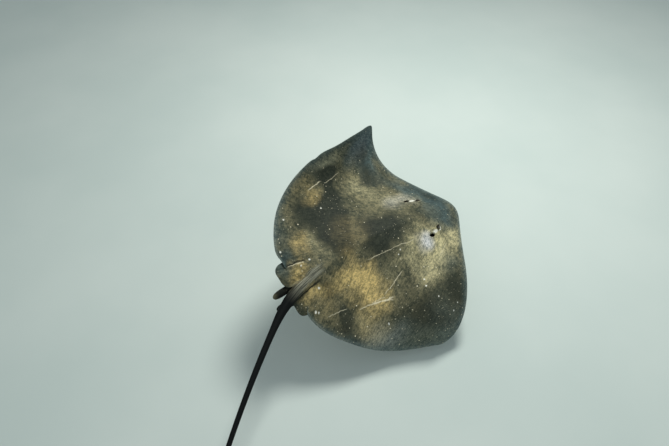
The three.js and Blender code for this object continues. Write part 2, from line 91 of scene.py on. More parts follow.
EYE = Sizes(x=0.0625, y=0.2475, radius=0.0105, bump=0.0145, spread=0.02, sunk=0.42, out=0.3)
EYE_GAZE = Vector((0.86, 0.28, 0.42)).normalized()
LID = Sizes(  # angles in degrees from the gaze, the rest in eye radii
    reach=(2.2, 1.25), inside=0.86, outside=1.1, opening=(50, 60), hood=26, fall=0.03,
    fall_at=(62, 90), thickest=1.14,
)
SPIRACLE = Sizes(x=0.0885, y=0.205, length=0.0155, width=0.0068, depth=0.016, turn=4,
                 wall=(1.14, 0.45), lip=0.0016, lip_at=1.25, lip_spread=0.25)

SWELLS = {  # by face: height, distance from the midline, spread across, y, spread along, lean, bow
    1: [
        (-0.0045, 0, 0.045, 0.235, 0.05, 0, 0),  # the hollow between the eyes
        (0.0085, 0.08, 0.03, 0.215, 0.055, 0, 0),  # brow
        (0.005, 0.07275, 0.0095, 0.207, 0.026, 0.25, 0),  # crest of the brow
        (-0.003, 0.108, 0.012, 0.215, 0.04, 0, 0),  # cheek
        (0.003, 0.075, 0.04, 0.03, 0.05, 0, 0),  # shoulder girdle
    ],
    -1: [
        (0.0022, 0, 0.032, 0.262, 0.009, 0, 5 / 7),  # lips
        (-0.003, 0, 0.004, -0.315, 0.014, 0, 0),  # vent
    ],
}
BACKBONE = Sizes(height=0.002, width=0.012, front=(0.16, 0.02), rear=(-0.3, -0.1))
RUMP = Sizes(height=0.0115, spread=0.03, front=(-0.19, -0.31), edge_fade=6)
HIP_GROOVE = Sizes(depth=0.0048, rear=(0.081, -0.386), bend=(0.055, -0.3), front=(0.05, -0.25),
                   rear_width=0.0045, front_width=0.006)
RIPPLE = Sizes(height=0.0016, scale=9, seed=3.1, grows=(0.2, 0.8))
EDGE_WAVE = Sizes(height=0.0022, scale=16, seed=7.7, grows=(0.75, 1.0))

MOUTH_SLIT = Sizes(y=0.262, depth=0.0045, bow=0.9, width=0.0026, corner=(0.037, 0.03))
NASAL_FLAP = Sizes(height=0.002, side=(0.027, 0.021), rear=(0.266, 0.27), front=(0.298, 0.285))
NOSTRIL = Sizes(depth=0.0055, inner=(0.024, 0.276), outer=(0.036, 0.291), width=0.004)
GILLS = Sizes(count=5, x=0.096, lean=0.026, front=0.168, pitch=0.031, length=0.03, slant=0.004,
              bow=0.004, depth=0.0042, width=0.0019, end_power=0.3)
GILL_FLAP = Sizes(height=0.0016, ahead=0.006, spread=0.005)

PELVIC = Sizes(y=-0.362, half_width=0.044, half_length=0.062, corner=3.2, outer=(0.056, 0.08))
PELVIC_X = {1: 0.044, -1: 0.051}
PELVIC_SPLAY = {1: 0, -1: 0.008}  # how far the rear end turns outwards
PELVIC_THICKNESS = Sizes(root=0.0195, edge=0.0104, thins=(0.32, 0.42))
PELVIC_SINK = Sizes(inner=0.0035, outer=0.0095)
PELVIC_RAYS = Sizes(count=26, height=0.1, hub=(0.01, -0.25), grows=(0.3, 0.8))
CLASPER = Sizes(x=0.021, front=-0.362, rear={1: -0.482, -1: -0.472}, radius=0.0118, sink=0.022,
                end_power=4)
CLASPER_SPLAY = {1: -0.008, -1: 0.002}  # the right one crosses under the tail
CLASPER_GROOVE = Sizes(depth=0.22, turn=-0.9, spread=0.3, end=(0.98, 0.7))

TAIL = Sizes(start_y=-0.26, start_z=0.008, length=1.4, swing=27.4, swing_end=0.298, curl=14, drop=5.6)
TAIL_LEAD = 0.09  # the tail's ridge begins this far ahead of its start, under the back
TAIL_CREST = [(-0.09, 0.004), (0, 0.0125), (0.05, 0.0095), (0.1, 0.004), (0.16, 0)]
CREST_POWER = 0.7
TAIL_HALF_WIDTH = [
    (-0.09, 0.006), (0, 0.015), (0.08, 0.0205), (0.13, 0.022), (0.18, 0.0195), (0.23, 0.016), (0.3, 0.0123),
    (0.4, 0.0108), (0.55, 0.0092), (0.7, 0.008), (0.9, 0.0058), (1.15, 0.0036), (1.4, 0.0012),
]
TAIL_FLATTENING = [(0, 0.9), (0.15, 0.74), (0.3, 0.86), (0.6, 1), (1.4, 1)]
KEELS = Sizes(count=5, height=0.045, grows=(0.34, 0.1))
FOLD = Sizes(start=0.77, end=1.2, depth=0.04, peak=0.42)
STING = Sizes(at=0.7, length=0.1, width=0.0072, thickness=0.0028, lift=5, taper=1.8, seat=0.6, groove=0.25,
              groove_width=0.3)
BARBS = Sizes(count=26, depth=0.26, start=(0.12, 0.2))

HINGE_X = 0.218
CHORD = 0.4
LEFT_WING = Sizes(bend=85.3, rate=-44.8, sweep=0.113)
RIGHT_WING = Sizes(bend=-70.9, rate=49.7, sweep=-0.016)
AXIS_BEND = Sizes(start_y=0.05, turn=21.5, twist=75.3)
BODY_PITCH = -5.9
BODY_ROLL = 13.8

# How finely the skin is meshed.

CURVE_STEPS = 400
RIBS = 150
ACROSS = 84
RIM = 2
SHEET = 2 * ACROSS + RIM  # over the back, round the edge and under the belly
EDGE_CROWDING = 1.12
TAIL_STATIONS = 240
TAIL_AROUND = 28
TAIL_CROWDING = 1.12
FINE_PLACES = [  # face, x, y, half width, half length, cuts
    (1, 0.077, 0.226, 0.038, 0.05, 3),
    (-1, 0.02, 0.275, 0.04, 0.034, 2),
    (-1, 0.084, 0.106, 0.034, 0.082, 1),
]
MERGE_REACH = 1e-5
TINY = 1e-6


# ---- Small helpers

def lerp(a, b, share):
    return a + (b - a) * share


def smooth(value, start, end):
    share = min(max((value - start) / (end - start), 0), 1)
    return share * share * (3 - 2 * share)


def bell(distance, width):
    return exp(-(distance / width) ** 2)


def along(pairs, place_on):
    """A smooth value from a short list of (place, value) pairs."""
    places = [p for p, _ in pairs]
    last = len(pairs) - 1
    if place_on <= places[0]:
        return pairs[0][1]
    if place_on >= places[last]:
        return pairs[last][1]
    i = bisect.bisect_right(places, place_on) - 1

    def slope(k):
        before, after = pairs[max(k - 1, 0)], pairs[min(k + 1, last)]
        return (after[1] - before[1]) / (after[0] - before[0])

    (p0, v0), (p1, v1) = pairs[i], pairs[i + 1]
    h = p1 - p0
    u = (place_on - p0) / h
    u2, u3 = u * u, u * u * u
    return ((2 * u3 - 3 * u2 + 1) * v0 + (u3 - 2 * u2 + u) * h * slope(i)
            + (3 * u2 - 2 * u3) * v1 + (u3 - u2) * h * slope(i + 1))


# ---- Posture

def axis_heading(y):
    return radians(AXIS_BEND.turn) * max(AXIS_BEND.start_y - y, 0)


def pose(x, y, z):
    """From the flat shape to the swimming animal, still level, in disc widths."""
    side, wing = (-1, LEFT_WING) if x < 0 else (1, RIGHT_WING)
    span = WING_TIP.x - HINGE_X
    out = max(abs(x) - HINGE_X, 0) / span
    bend = radians(wing.bend + wing.rate * (y - WING_TIP.y) / CHORD)
    angle = bend * out
    reach = min(abs(x), HINGE_X) + span * sin(angle) / bend - sin(angle) * z
    height = span * (1 - cos(angle)) / bend + cos(angle) * z
    behind = max(AXIS_BEND.start_y - y, 0)
    heading = axis_heading(y)
    turn = radians(AXIS_BEND.turn)
    across = side * reach
    return Vector((
        (1 - cos(heading)) / turn + across * cos(heading),
        y + behind - sin(heading) / turn + across * sin(heading) + wing.sweep * out * out,
        height - sin(radians(AXIS_BEND.twist) * behind) * across,
    ))


TILT = Matrix.Rotation(radians(BODY_PITCH), 3, "X") @ Matrix.Rotation(radians(BODY_ROLL), 3, "Y")


def place(point):
    """From the level animal, in disc widths, to its place over the stand, in metres."""
    return TILT @ point * DISC_WIDTH + Vector((*DISC_SHIFT, RIDE_HEIGHT))


def placed(x, y, z):
    return place(pose(x, y, z))


# ---- The disc's outline and thickness

def flat_curve(*points):
    return interpolate_bezier(*[Vector((*p, 0)) for p in points], CURVE_STEPS)


def half_margin():
    """The right half of the disc's edge, from the snout round to the notch at the tail."""
    steep = tan(radians(SNOUT.slope))
    slope = radians(REAR_LOBE.slope)
    tip = (WING_TIP.x, WING_TIP.y)
    lobe = (REAR_LOBE.x, REAR_LOBE.y)
    lobe_handle, end_handle = NOTCH_HANDLES.lobe, NOTCH_HANDLES.end
    front = flat_curve(
        (0, SNOUT.y), (SNOUT.reach, SNOUT.y - SNOUT.reach * steep),
        (tip[0], tip[1] + WING_TIP.front), tip,
    )
    r = SNOUT.round
    for point in front:  # blunts the snout
        swell = 2 * r * exp(-point.x / (3 * r))
        point.y -= steep * r * 0.5 * exp(-point.x / (1.2 * r))
        point.x = sqrt(point.x * (point.x + swell))
    rear = flat_curve(
        tip, (tip[0], tip[1] - WING_TIP.rear),
        (lobe[0] + REAR_LOBE.reach * cos(slope), lobe[1] + REAR_LOBE.reach * sin(slope)), lobe,
    )
    notch = flat_curve(
        lobe, (lobe[0] + lobe_handle[0], lobe[1] + lobe_handle[1]),
        (DISC_END.inner + end_handle[0], DISC_END.y + end_handle[1]), (0, DISC_END.y),
    )
    return front + rear[1:] + notch[1:]


MARGIN = half_margin()
MARGIN_LENGTH = [0.0]
for before, after in zip(MARGIN, MARGIN[1:]):
    MARGIN_LENGTH.append(MARGIN_LENGTH[-1] + (after - before).length)


def margin_at(share):
    """The place on the half margin that share of its length takes one to."""
    run = share * MARGIN_LENGTH[-1]
    i = min(bisect.bisect_right(MARGIN_LENGTH, run), len(MARGIN) - 1) - 1
    step = MARGIN_LENGTH[i + 1] - MARGIN_LENGTH[i]
    return MARGIN[i].lerp(MARGIN[i + 1], min(max((run - MARGIN_LENGTH[i]) / step, 0), 1))


def spine_at(share):
    return lerp(SPINE.front, SPINE.rear, share)


def on_rib(u, r):
    """The place a share r of the way from the spine to the margin's place u."""
    end = margin_at(u)
    return end.x * r, lerp(spine_at(u), end.y, r)


def body_half_width(y):
    end = "front" if y > 0 else "rear"
    return lerp(BODY_HALF_WIDTH["middle"], BODY_HALF_WIDTH[end], smooth(abs(y), 0, BODY_REACH[end]))


def ridge_height(y, face):
    ridge = BODY_RIDGE[face]
    rear = lerp(1, ridge.rear_share, smooth(-y, *ridge.rear))
    return ridge.height * smooth(y, *ridge.front) * rear


def surface_z(x, y, r, face):
    """Height of the back or belly; r is 0 at the spine and 1 at the margin."""
    wing = WING_THICKNESS[face] * (1 - r * r) ** WING_TAPER
    body = ridge_height(y, face) * bell(x, body_half_width(y)) * (1 - r ** BODY_FADE)
    knob = EYE.bump * bell(hypot(abs(x) - EYE.x, y - EYE.y), EYE.spread) if face > 0 else 0
    return face * (0.5 * EDGE_THICKNESS + wing + body + knob)


def back_height(x, y):
    """The height of the back from the place alone, by looking for the rib that passes through it."""
    low, high = 0.0, 1.0
    for _ in range(30):
        middle = (low + high) / 2
        end = margin_at(middle)
        r = abs(x) / max(end.x, TINY)
        if r > 1 or lerp(spine_at(middle), end.y, r) > y:
            low = middle
        else:
            high = middle
    return surface_z(x, y, min(abs(x) / max(margin_at(low).x, TINY), 1), 1)


# ---- Relief of back and belly

def segment_distance(x, y, start, end):
    """How far (x, y) is from a straight stroke, and how far along it, from 0 to 1."""
    run = (end[0] - start[0], end[1] - start[1])
    share = ((x - start[0]) * run[0] + (y - start[1]) * run[1]) / (run[0] ** 2 + run[1] ** 2)
    share = min(max(share, 0), 1)
    return hypot(x - start[0] - run[0] * share, y - start[1] - run[1] * share), share


def swells(w, y, face):
    total = 0
    for height, beside, across, middle, length, lean, bow in SWELLS[face]:
        ahead = y - middle
        total += height * bell(w - beside + lean * ahead, across) * bell(ahead - bow * w * w, length)
    return total


def unevenness(x, y, r, wave):
    """A gentle seeded waviness that grows towards the margin."""
    at = Vector((x * wave.scale, y * wave.scale, wave.seed))
    return wave.height * noise.noise(at) * smooth(r, *wave.grows)


def back_relief(x, y, r):
    """Height added to the smooth back, in disc widths."""
    w = abs(x)
    backbone = BACKBONE.height * bell(x, BACKBONE.width)
    backbone *= smooth(y, *BACKBONE.front) * smooth(y, *BACKBONE.rear)
    rump = RUMP.height * bell(x, RUMP.spread) * smooth(y, *RUMP.front) * (1 - r ** RUMP.edge_fade)
    seam, _ = segment_distance(w, y, HIP_GROOVE.rear, HIP_GROOVE.bend)
    root, share = segment_distance(w, y, HIP_GROOVE.bend, HIP_GROOVE.front)
    groove = max(bell(seam, HIP_GROOVE.rear_width), bell(root, HIP_GROOVE.front_width) * (1 - share))
    waves = unevenness(x, y, r, RIPPLE) + unevenness(x, y, r, EDGE_WAVE)
    return swells(w, y, 1) + backbone + rump - HIP_GROOVE.depth * groove + waves


def gill_relief(w, y):
    """The slits of one side, each a bowed groove behind a low flap."""
    total = 0
    half, slant = GILLS.length / 2, GILLS.slant
    for i in range(GILLS.count):
        gx = GILLS.x - GILLS.lean * i / (GILLS.count - 1)
        gy = GILLS.front - GILLS.pitch * i
        ends = (gx - half, gy + slant), (gx + half, gy - slant)
        near, share = segment_distance(w, y, *ends)
        bow = GILLS.bow * sin(pi * share)
        if near < GILLS.length:
            slot, _ = segment_distance(w, y - bow, *ends)
            total -= GILLS.depth * bell(slot, GILLS.width) * sin(pi * share) ** GILLS.end_power
        flap = bell(y - bow - gy - GILL_FLAP.ahead, GILL_FLAP.spread)
        total += GILL_FLAP.height * flap * bell(w - gx, half)
    return total


def belly_relief(x, y, r):
    """Height added to the smooth belly, positive outwards, in disc widths."""
    w = abs(x)
    slit = MOUTH_SLIT.depth * bell(y - MOUTH_SLIT.y + MOUTH_SLIT.bow * x * x, MOUTH_SLIT.width)
    slit *= smooth(w, *MOUTH_SLIT.corner)
    flap = NASAL_FLAP.height * smooth(w, *NASAL_FLAP.side)
    flap *= smooth(y, *NASAL_FLAP.rear) * smooth(y, *NASAL_FLAP.front)
    off_nostril, _ = segment_distance(w, y, NOSTRIL.inner, NOSTRIL.outer)
    nostril = NOSTRIL.depth * bell(off_nostril, NOSTRIL.width)
    return swells(w, y, -1) + gill_relief(w, y) + flap - slit - nostril - unevenness(x, y, r, EDGE_WAVE)


def eyeball_middle(side):
    z = back_height(EYE.x, EYE.y) - EYE.sunk * EYE.radius
    return Vector((side * (EYE.x + EYE.out * EYE.radius), EYE.y, z))


def lid(point, middle):
    """Wraps the skin round the right eyeball: it opens where the eye looks out and closes to a soft rim."""
    out = point - middle
    far = out.length / EYE.radius
    if far > LID.reach[0] or far < TINY:
        return point
    above = max(out.normalized().z - EYE_GAZE.z, 0)
    opening = degrees(out.angle(EYE_GAZE)) + LID.hood * above
    shell = lerp(LID.inside, LID.outside, smooth(opening, *LID.opening))
    shell -= LID.fall * smooth(opening, *LID.fall_at)
    if opening > LID.opening[1]:
        shell = max(shell, min(far, LID.thickest))
    return middle + out.normalized() * EYE.radius * lerp(far, shell, smooth(far, *LID.reach))


def spiracle_depth(x, y):
    """How far the skin sinks into the opening behind the eye."""
    turn = radians(SPIRACLE.turn)
    dx, dy = abs(x) - SPIRACLE.x, y - SPIRACLE.y
    u = (dx * cos(turn) - dy * sin(turn)) / SPIRACLE.width
    v = (dx * sin(turn) + dy * cos(turn)) / SPIRACLE.length
    far = hypot(u, v)
    lip = SPIRACLE.lip * bell(far - SPIRACLE.lip_at, SPIRACLE.lip_spread)
    return SPIRACLE.depth * smooth(far, *SPIRACLE.wall) - lip


# ---- The skin

def way_out(step, face):
    """How far towards the margin, from 0 to 1, a step along the sheet has come."""
    run = step if face > 0 else SHEET - step
    return min(max(1 - (1 - run / ACROSS) ** EDGE_CROWDING, 0), 1)


def rib_place(u, v):
    """From a place on the sheet to the flat shape, with how far out it is and its face."""
    step = v * SHEET
    if ACROSS < step < ACROSS + RIM:
        end = margin_at(u)
        turn = pi * (step - ACROSS) / RIM
        outward = Vector((end.x, end.y - spine_at(u), 0)).normalized() * 0.5 * EDGE_THICKNESS
        rim = end + outward * sin(turn)
        return Vector((max(rim.x, 0), rim.y, 0.5 * EDGE_THICKNESS * cos(turn))), 1.0, 0
    face = 1 if step <= ACROSS else -1
    r = way_out(step, face)
    x, y = on_rib(u, r)
    relief = back_relief(x, y, r) if face > 0 else belly_relief(x, y, r)
    return Vector((x, y, surface_z(x, y, r, face) + face * relief)), r, face


def refine(bm):
    """Splits the sheet's faces where the head and belly need finer relief."""
    for face, x, y, half_width, half_length, cuts in FINE_PLACES:
        chosen = set()
        for f in bm.faces:
            middle = f.calc_center_median()
            step = middle.y * SHEET
            if (step < ACROSS) != (face > 0) or ACROSS <= step <= ACROSS + RIM:
                continue
            at_x, at_y = on_rib(middle.x, way_out(step, face))
            if abs(at_x - x) < half_width and abs(at_y - y) < half_length:
                chosen.update(f.edges)
        bmesh.ops.subdivide_edges(bm, edges=list(chosen), cuts=cuts, use_grid_fill=True)


def close_up(bm, reach):
    """Merges the places that meet, so that seams and poles are closed."""
    bmesh.ops.remove_doubles(bm, verts=bm.verts, dist=reach)
    bmesh.ops.dissolve_degenerate(bm, edges=bm.edges, dist=reach / 10)


def shade_smooth(mesh):
    for polygon in mesh.polygons:
        polygon.use_smooth = True


def finish_mesh(name, bm, closed=True):
    """Puts a bmesh in the scene as a smooth piece; a closed one has its faces turned outwards."""
    if closed:
        bmesh.ops.recalc_face_normals(bm, faces=bm.faces)
    mesh = bpy.data.meshes.new(name)
    bm.to_mesh(mesh)
    bm.free()
    shade_smooth(mesh)
    piece = bpy.data.objects.new(name, mesh)
    bpy.context.scene.collection.objects.link(piece)
    return piece


def settle(piece, slot, *nodes):
    """Hangs a piece on the root body and hides the solids that it stands for."""
    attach(piece, "root")
    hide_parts(*nodes)
    return piece


def skin_layers(bm):
    """Layers for a vertex's place on the flat shape and for the limb it belongs to."""
    return [bm.verts.layers.float_vector.new(name) for name in ("flat", "limb")]


def disc_piece():
    """Back, margin and belly as one sheet for the right side, mirrored and welded along the middle."""
    bm = bmesh.new()
    bmesh.ops.create_grid(bm, x_segments=RIBS, y_segments=SHEET, size=0.5)
    bmesh.ops.translate(bm, vec=(0.5, 0.5, 0), verts=bm.verts)
    refine(bm)
    across = bm.verts.layers.float.new("across")
    face_side = bm.verts.layers.float.new("face")
    for v in bm.verts:
        v.co, v[across], v[face_side] = rib_place(min(max(v.co.x, 0), 1), min(max(v.co.y, 0), 1))
    middle = eyeball_middle(1)
    for v in bm.verts:
        if v[face_side] > 0:
            v.co.z -= spiracle_depth(v.co.x, v.co.y)
            v.co = lid(v.co, middle)
    bmesh.ops.mirror(bm, geom=bm.verts[:] + bm.edges[:] + bm.faces[:], axis="X", merge_dist=MERGE_REACH)
    close_up(bm, MERGE_REACH)
    flat, limb = skin_layers(bm)
    for v in bm.verts:
        v[flat] = Vector((v.co.x, v.co.y, v[face_side] * (1 - v[across])))
        v[limb] = Vector((0, 0, 0))
        for x, y, draw_x, draw_y, spread in CURLED_EDGE:
            share = bell(hypot(v.co.x - x, v.co.y - y), spread)
            v.co += Vector((draw_x, draw_y, 0)) * share
        v.co = placed(*v.co)
    return finish_mesh("skin_disc", bm)


# ---- The tail

class TailLine:
    """The tail's middle line: it leaves the body along the axis and swings to the right."""

    STEPS = 280

    def __init__(self):
        self.step = TAIL.length / self.STEPS
        self.start = axis_heading(TAIL.start_y)
        self.drop = radians(TAIL.drop)
        self.points = [pose(0, TAIL.start_y, TAIL.start_z)]
        for i in range(self.STEPS):
            self.points.append(self.points[i] + self.direction((i + 0.5) * self.step) * self.step)

    def direction(self, s):
        heading = self.start + radians(TAIL.swing) * smooth(s, 0, TAIL.swing_end)
        heading += radians(TAIL.curl) * s
        level = cos(self.drop)
        return Vector((sin(heading) * level, -cos(heading) * level, -sin(self.drop)))

    def at(self, s):
        if s < 0:
            return pose(0, TAIL.start_y - s, TAIL.start_z - s * tan(self.drop))
        i = min(int(s / self.step), self.STEPS - 1)
        return self.points[i].lerp(self.points[i + 1], s / self.step - i)

    def point(self, s, across, up):
        """A place beside the middle line, in metres over the stand."""
        forward = self.direction(s)
        sideways = Vector((0, 0, 1)).cross(forward).normalized()
        return place(self.at(s) + sideways * across + forward.cross(sideways) * up)


TAIL_LINE = TailLine()


def fold_depth(s):
    """How deep the skin fold under the tail hangs at s."""
    u = (s - FOLD.start) / (FOLD.end - FOLD.start)
    if not 0 < u < 1:
        return 0
    return FOLD.depth * (smooth(u, 0, FOLD.peak) if u < FOLD.peak else 1 - smooth(u, FOLD.peak, 1))


def tail_piece():
    """A sheet rolled into a tapering tube, whose lowest line is pulled down into the fold."""
    bm = bmesh.new()
    bmesh.ops.create_grid(bm, x_segments=TAIL_STATIONS, y_segments=TAIL_AROUND, size=0.5)
    flat, limb = skin_layers(bm)
    for v in bm.verts:
        u, turn = v.co.x + 0.5, round((v.co.y + 0.5) * TAIL_AROUND) % TAIL_AROUND
        s = lerp(-TAIL_LEAD, TAIL.length, u ** TAIL_CROWDING)
        angle = 2 * pi * turn / TAIL_AROUND - pi / 2
        closed = 0 if u < TINY or u > 1 - TINY else 1
        half_width = along(TAIL_HALF_WIDTH, s) * closed
        half_height = half_width * along(TAIL_FLATTENING, s)
        keels = 1 + KEELS.height * smooth(s, *KEELS.grows) * cos(KEELS.count * angle - pi / 2)
        rise = along(TAIL_CREST, s) * max(sin(angle), 0) ** CREST_POWER * closed
        rise -= fold_depth(s) if turn == 0 else 0
        v.co = TAIL_LINE.point(s, keels * half_width * cos(angle), keels * half_height * sin(angle) + rise)
        v[flat] = Vector((half_width * cos(angle), TAIL.start_y - s, 0.5 + 0.5 * sin(angle)))
        v[limb] = Vector((1, 0, angle))
    close_up(bm, MERGE_REACH)
    return finish_mesh("skin_tail", bm)


# ---- Pelvic fins and claspers

def pelvic_piece(side):
    """A rounded paddle under the rear edge of the disc beside the tail, with faint rays."""
    bm = bmesh.new()
    bmesh.ops.create_uvsphere(bm, u_segments=64, v_segments=28, radius=1)
    flat, limb = skin_layers(bm)
    corner = PELVIC.corner
    hub_x, hub_y = PELVIC_RAYS.hub
    for v in bm.verts:
        p = v.co.copy()
        level = hypot(p.x, p.y)
        square = 1
        if level > TINY:
            square = (abs(p.x / level) ** corner + abs(p.y / level) ** corner) ** (-1 / corner)
        x = side * (PELVIC_X[side] - PELVIC_SPLAY[side] * p.y) + p.x * square * PELVIC.half_width
        y = PELVIC.y + p.y * square * PELVIC.half_length
        fan = sin(side * PELVIC_RAYS.count * atan2(x - side * hub_x, y - hub_y))
        rays = 1 + PELVIC_RAYS.height * fan * smooth(level, *PELVIC_RAYS.grows)
        outer = smooth(abs(x), *PELVIC.outer)
        thin = lerp(smooth(-y, *PELVIC_THICKNESS.thins), 1, outer)
        thick = lerp(PELVIC_THICKNESS.root, PELVIC_THICKNESS.edge, thin)
        v.co = placed(x, y, p.z * rays * thick / 2 - lerp(PELVIC_SINK.inner, PELVIC_SINK.outer, outer))
        v[flat] = Vector((x, y, 0.5 * p.z))
        v[limb] = Vector((0, 0, 0))
    return finish_mesh("skin_pelvic", bm)


def clasper_piece(side):
    """A blunt rod with a rolled groove along its outer side."""
    bm = bmesh.new()
    bmesh.ops.create_uvsphere(bm, u_segments=28, v_segments=32, radius=1)
    flat, limb = skin_layers(bm)
    front, rear = CLASPER.front, CLASPER.rear[side]
    for v in bm.verts:
        p = v.co.copy()
        blunt = (1 - abs(p.z) ** CLASPER.end_power) ** 0.5 / max(hypot(p.x, p.y), TINY) if abs(p.z) < 1 else 1
        around = atan2(p.y, p.x * side)
        rolled = bell(around - CLASPER_GROOVE.turn, CLASPER_GROOVE.spread)
        groove = 1 - CLASPER_GROOVE.depth * rolled * smooth(p.z, *CLASPER_GROOVE.end)
        x, z = p.x * blunt * groove * CLASPER.radius, p.y * blunt * groove * CLASPER.radius
        y = (front + rear) / 2 + p.z * (front - rear) / 2
        v.co = placed(side * (CLASPER.x - CLASPER_SPLAY[side] * p.z) + x, y, z - CLASPER.sink)
        v[flat] = Vector((side * CLASPER.x + x, y, 0.5))
        v[limb] = Vector((0, 1, around))
    return finish_mesh("skin_clasper", bm)


# ---- Welding the skin

JOIN_TOLERANCE = 2e-5
JOIN_REACH = 0.011
JOIN_SMOOTHING = [(1, 4), (0.6, 6), (0.35, 6)]  # share of the reach, times
JOIN_BLENDS = Sizes(reach=1.6, times=14)


def tree_of(places):
    tree = kdtree.KDTree(len(places))
    for i, co in enumerate(places):
        tree.insert(co, i)
    tree.balance()
    return tree


def known_places(pieces):
    """Every vertex of some pieces with its place on the flat shape and the limb it belongs to."""
    found = []
    for piece in pieces:
        flats, limbs = piece.data.attributes["flat"].data, piece.data.attributes["limb"].data
        for v in piece.data.vertices:
            found.append((v.co.copy(), Vector(flats[v.index].vector), Vector(limbs[v.index].vector)))
    return found


def soften_places(verts, layer):
    """Lets the places stored on some vertices run smoothly into each other, so that markings meet."""
    for _ in range(JOIN_BLENDS.times):
        means = []
        for v in verts:
            around = [edge.other_vert(v)[layer] for edge in v.link_edges]
            means.append(sum(around, v[layer].copy()) / (len(around) + 1))
        for v, mean in zip(verts, means):
            v[layer] = mean


def united(body, parts):
    """The body's mesh with every part joined on."""
    for part in parts:
        step = body.modifiers.new("weld", "BOOLEAN")
        step.operation = "UNION"
        step.solver = "MANIFOLD"
        step.object = part
        merged = bpy.data.meshes.new_from_object(body.evaluated_get(bpy.context.evaluated_depsgraph_get()))
        body.modifiers.clear()
        body.data = merged
    for part in parts:
        bpy.data.objects.remove(part)


def weld(body, *parts):
    """One closed skin from overlapping closed pieces, softened where they meet."""
    known = known_places([body, *parts])
    united(body, parts)
    tree = tree_of([co for co, _, _ in known])
    bm = bmesh.new()
    bm.from_mesh(body.data)
    for layers in (bm.verts.layers.float_vector, bm.verts.layers.float):
        for name in ("flat", "limb", "across", "face"):
            if name in layers:
                layers.remove(layers[name])
    bmesh.ops.remove_doubles(bm, verts=bm.verts, dist=JOIN_TOLERANCE)
    bmesh.ops.dissolve_degenerate(bm, edges=bm.edges, dist=JOIN_TOLERANCE)
    flat, limb = skin_layers(bm)
    fresh = []
    for v in bm.verts:
        _, i, far = tree.find(v.co)
        v[flat], v[limb] = known[i][1:]
        if far > JOIN_TOLERANCE:
            fresh.append(v.co.copy())
    joins = tree_of(fresh)

    def near_joins(share):
        return [v for v in bm.verts if joins.find(v.co)[2] < JOIN_REACH * share]

    for share, times in JOIN_SMOOTHING:
        near = near_joins(share)
        for _ in range(times):
            bmesh.ops.smooth_vert(bm, verts=near, factor=0.5, use_axis_x=True, use_axis_y=True,
                                  use_axis_z=True)
    soften_places(near_joins(JOIN_BLENDS.reach), flat)
    bm.to_mesh(body.data)
    bm.free()
    shade_smooth(body.data)


# ---- Markings

# Soft patches on the back, in disc widths: x, y, half width, half length, turn in degrees, strength.

GOLD_PATCHES = [
    (0.118, -0.135, 0.07, 0.044, 24, 0.95), (0.065, -0.2, 0.035, 0.055, -20, 0.7),
    (0.2, -0.115, 0.03, 0.03, 0, 0.1), (-0.265, -0.159, 0.04, 0.024, -10, 0.36),
    (-0.095, -0.28, 0.03, 0.035, 0, 0.45), (-0.065, -0.08, 0.035, 0.06, 0, 0.1),
    (-0.036, -0.35, 0.02, 0.04, 0, 0.75), (0.045, -0.345, 0.02, 0.035, 0, 0.5),
    (0.155, -0.217, 0.075, 0.03, 15, 0.28), (0.16, -0.165, 0.035, 0.025, 0, 0.4),
    (0.27, -0.19, 0.045, 0.045, 0, 0.15), (-0.33, -0.18, 0.04, 0.04, 30, 0.08),
    (0.09, -0.32, 0.06, 0.04, 0, 0.15), (0.09, -0.1, 0.04, 0.025, 10, 0.45),
    (0.0, -0.16, 0.04, 0.03, 0, 0.25), (0.05, -0.26, 0.03, 0.03, 0, 0.3),
]
TAN_PATCHES = [
    (0.155, 0.195, 0.045, 0.11, 22, 0.7), (0.125, 0.335, 0.03, 0.04, 0, 0.65),
    (0.11, 0.245, 0.03, 0.03, 0, 0.35), (0.2, 0.1, 0.06, 0.04, 0, 0.15),
    (0.08, 0.14, 0.035, 0.05, 0, 0.35), (-0.24, 0.075, 0.06, 0.035, 15, 0.2),
    (-0.255, 0.105, 0.035, 0.03, 0, 0.25), (-0.15, 0.1, 0.085, 0.05, 30, 0.17),
    (-0.1, 0.2, 0.045, 0.06, 0, 0.25), (-0.09, -0.212, 0.04, 0.03, 0, 0.42),
    (0.06, 0.27, 0.025, 0.04, 0, 0.2), (0.12, -0.05, 0.07, 0.045, 0, 0.14),
    (0.265, -0.19, 0.05, 0.05, 30, 0.3), (-0.4, -0.04, 0.035, 0.06, 20, 0.3),
    (0.42, 0.07, 0.07, 0.1, 0, 0.14), (0.36, -0.1, 0.05, 0.09, -35, 0.2),
    (0.1, 0.06, 0.045, 0.035, 0, 0.46), (0.255, 0.12, 0.035, 0.06, 0, 0.4),
    (0.085, 0.0, 0.03, 0.06, 0, 0.08), (0.1, 0.21, 0.03, 0.025, 0, 0.3),
]
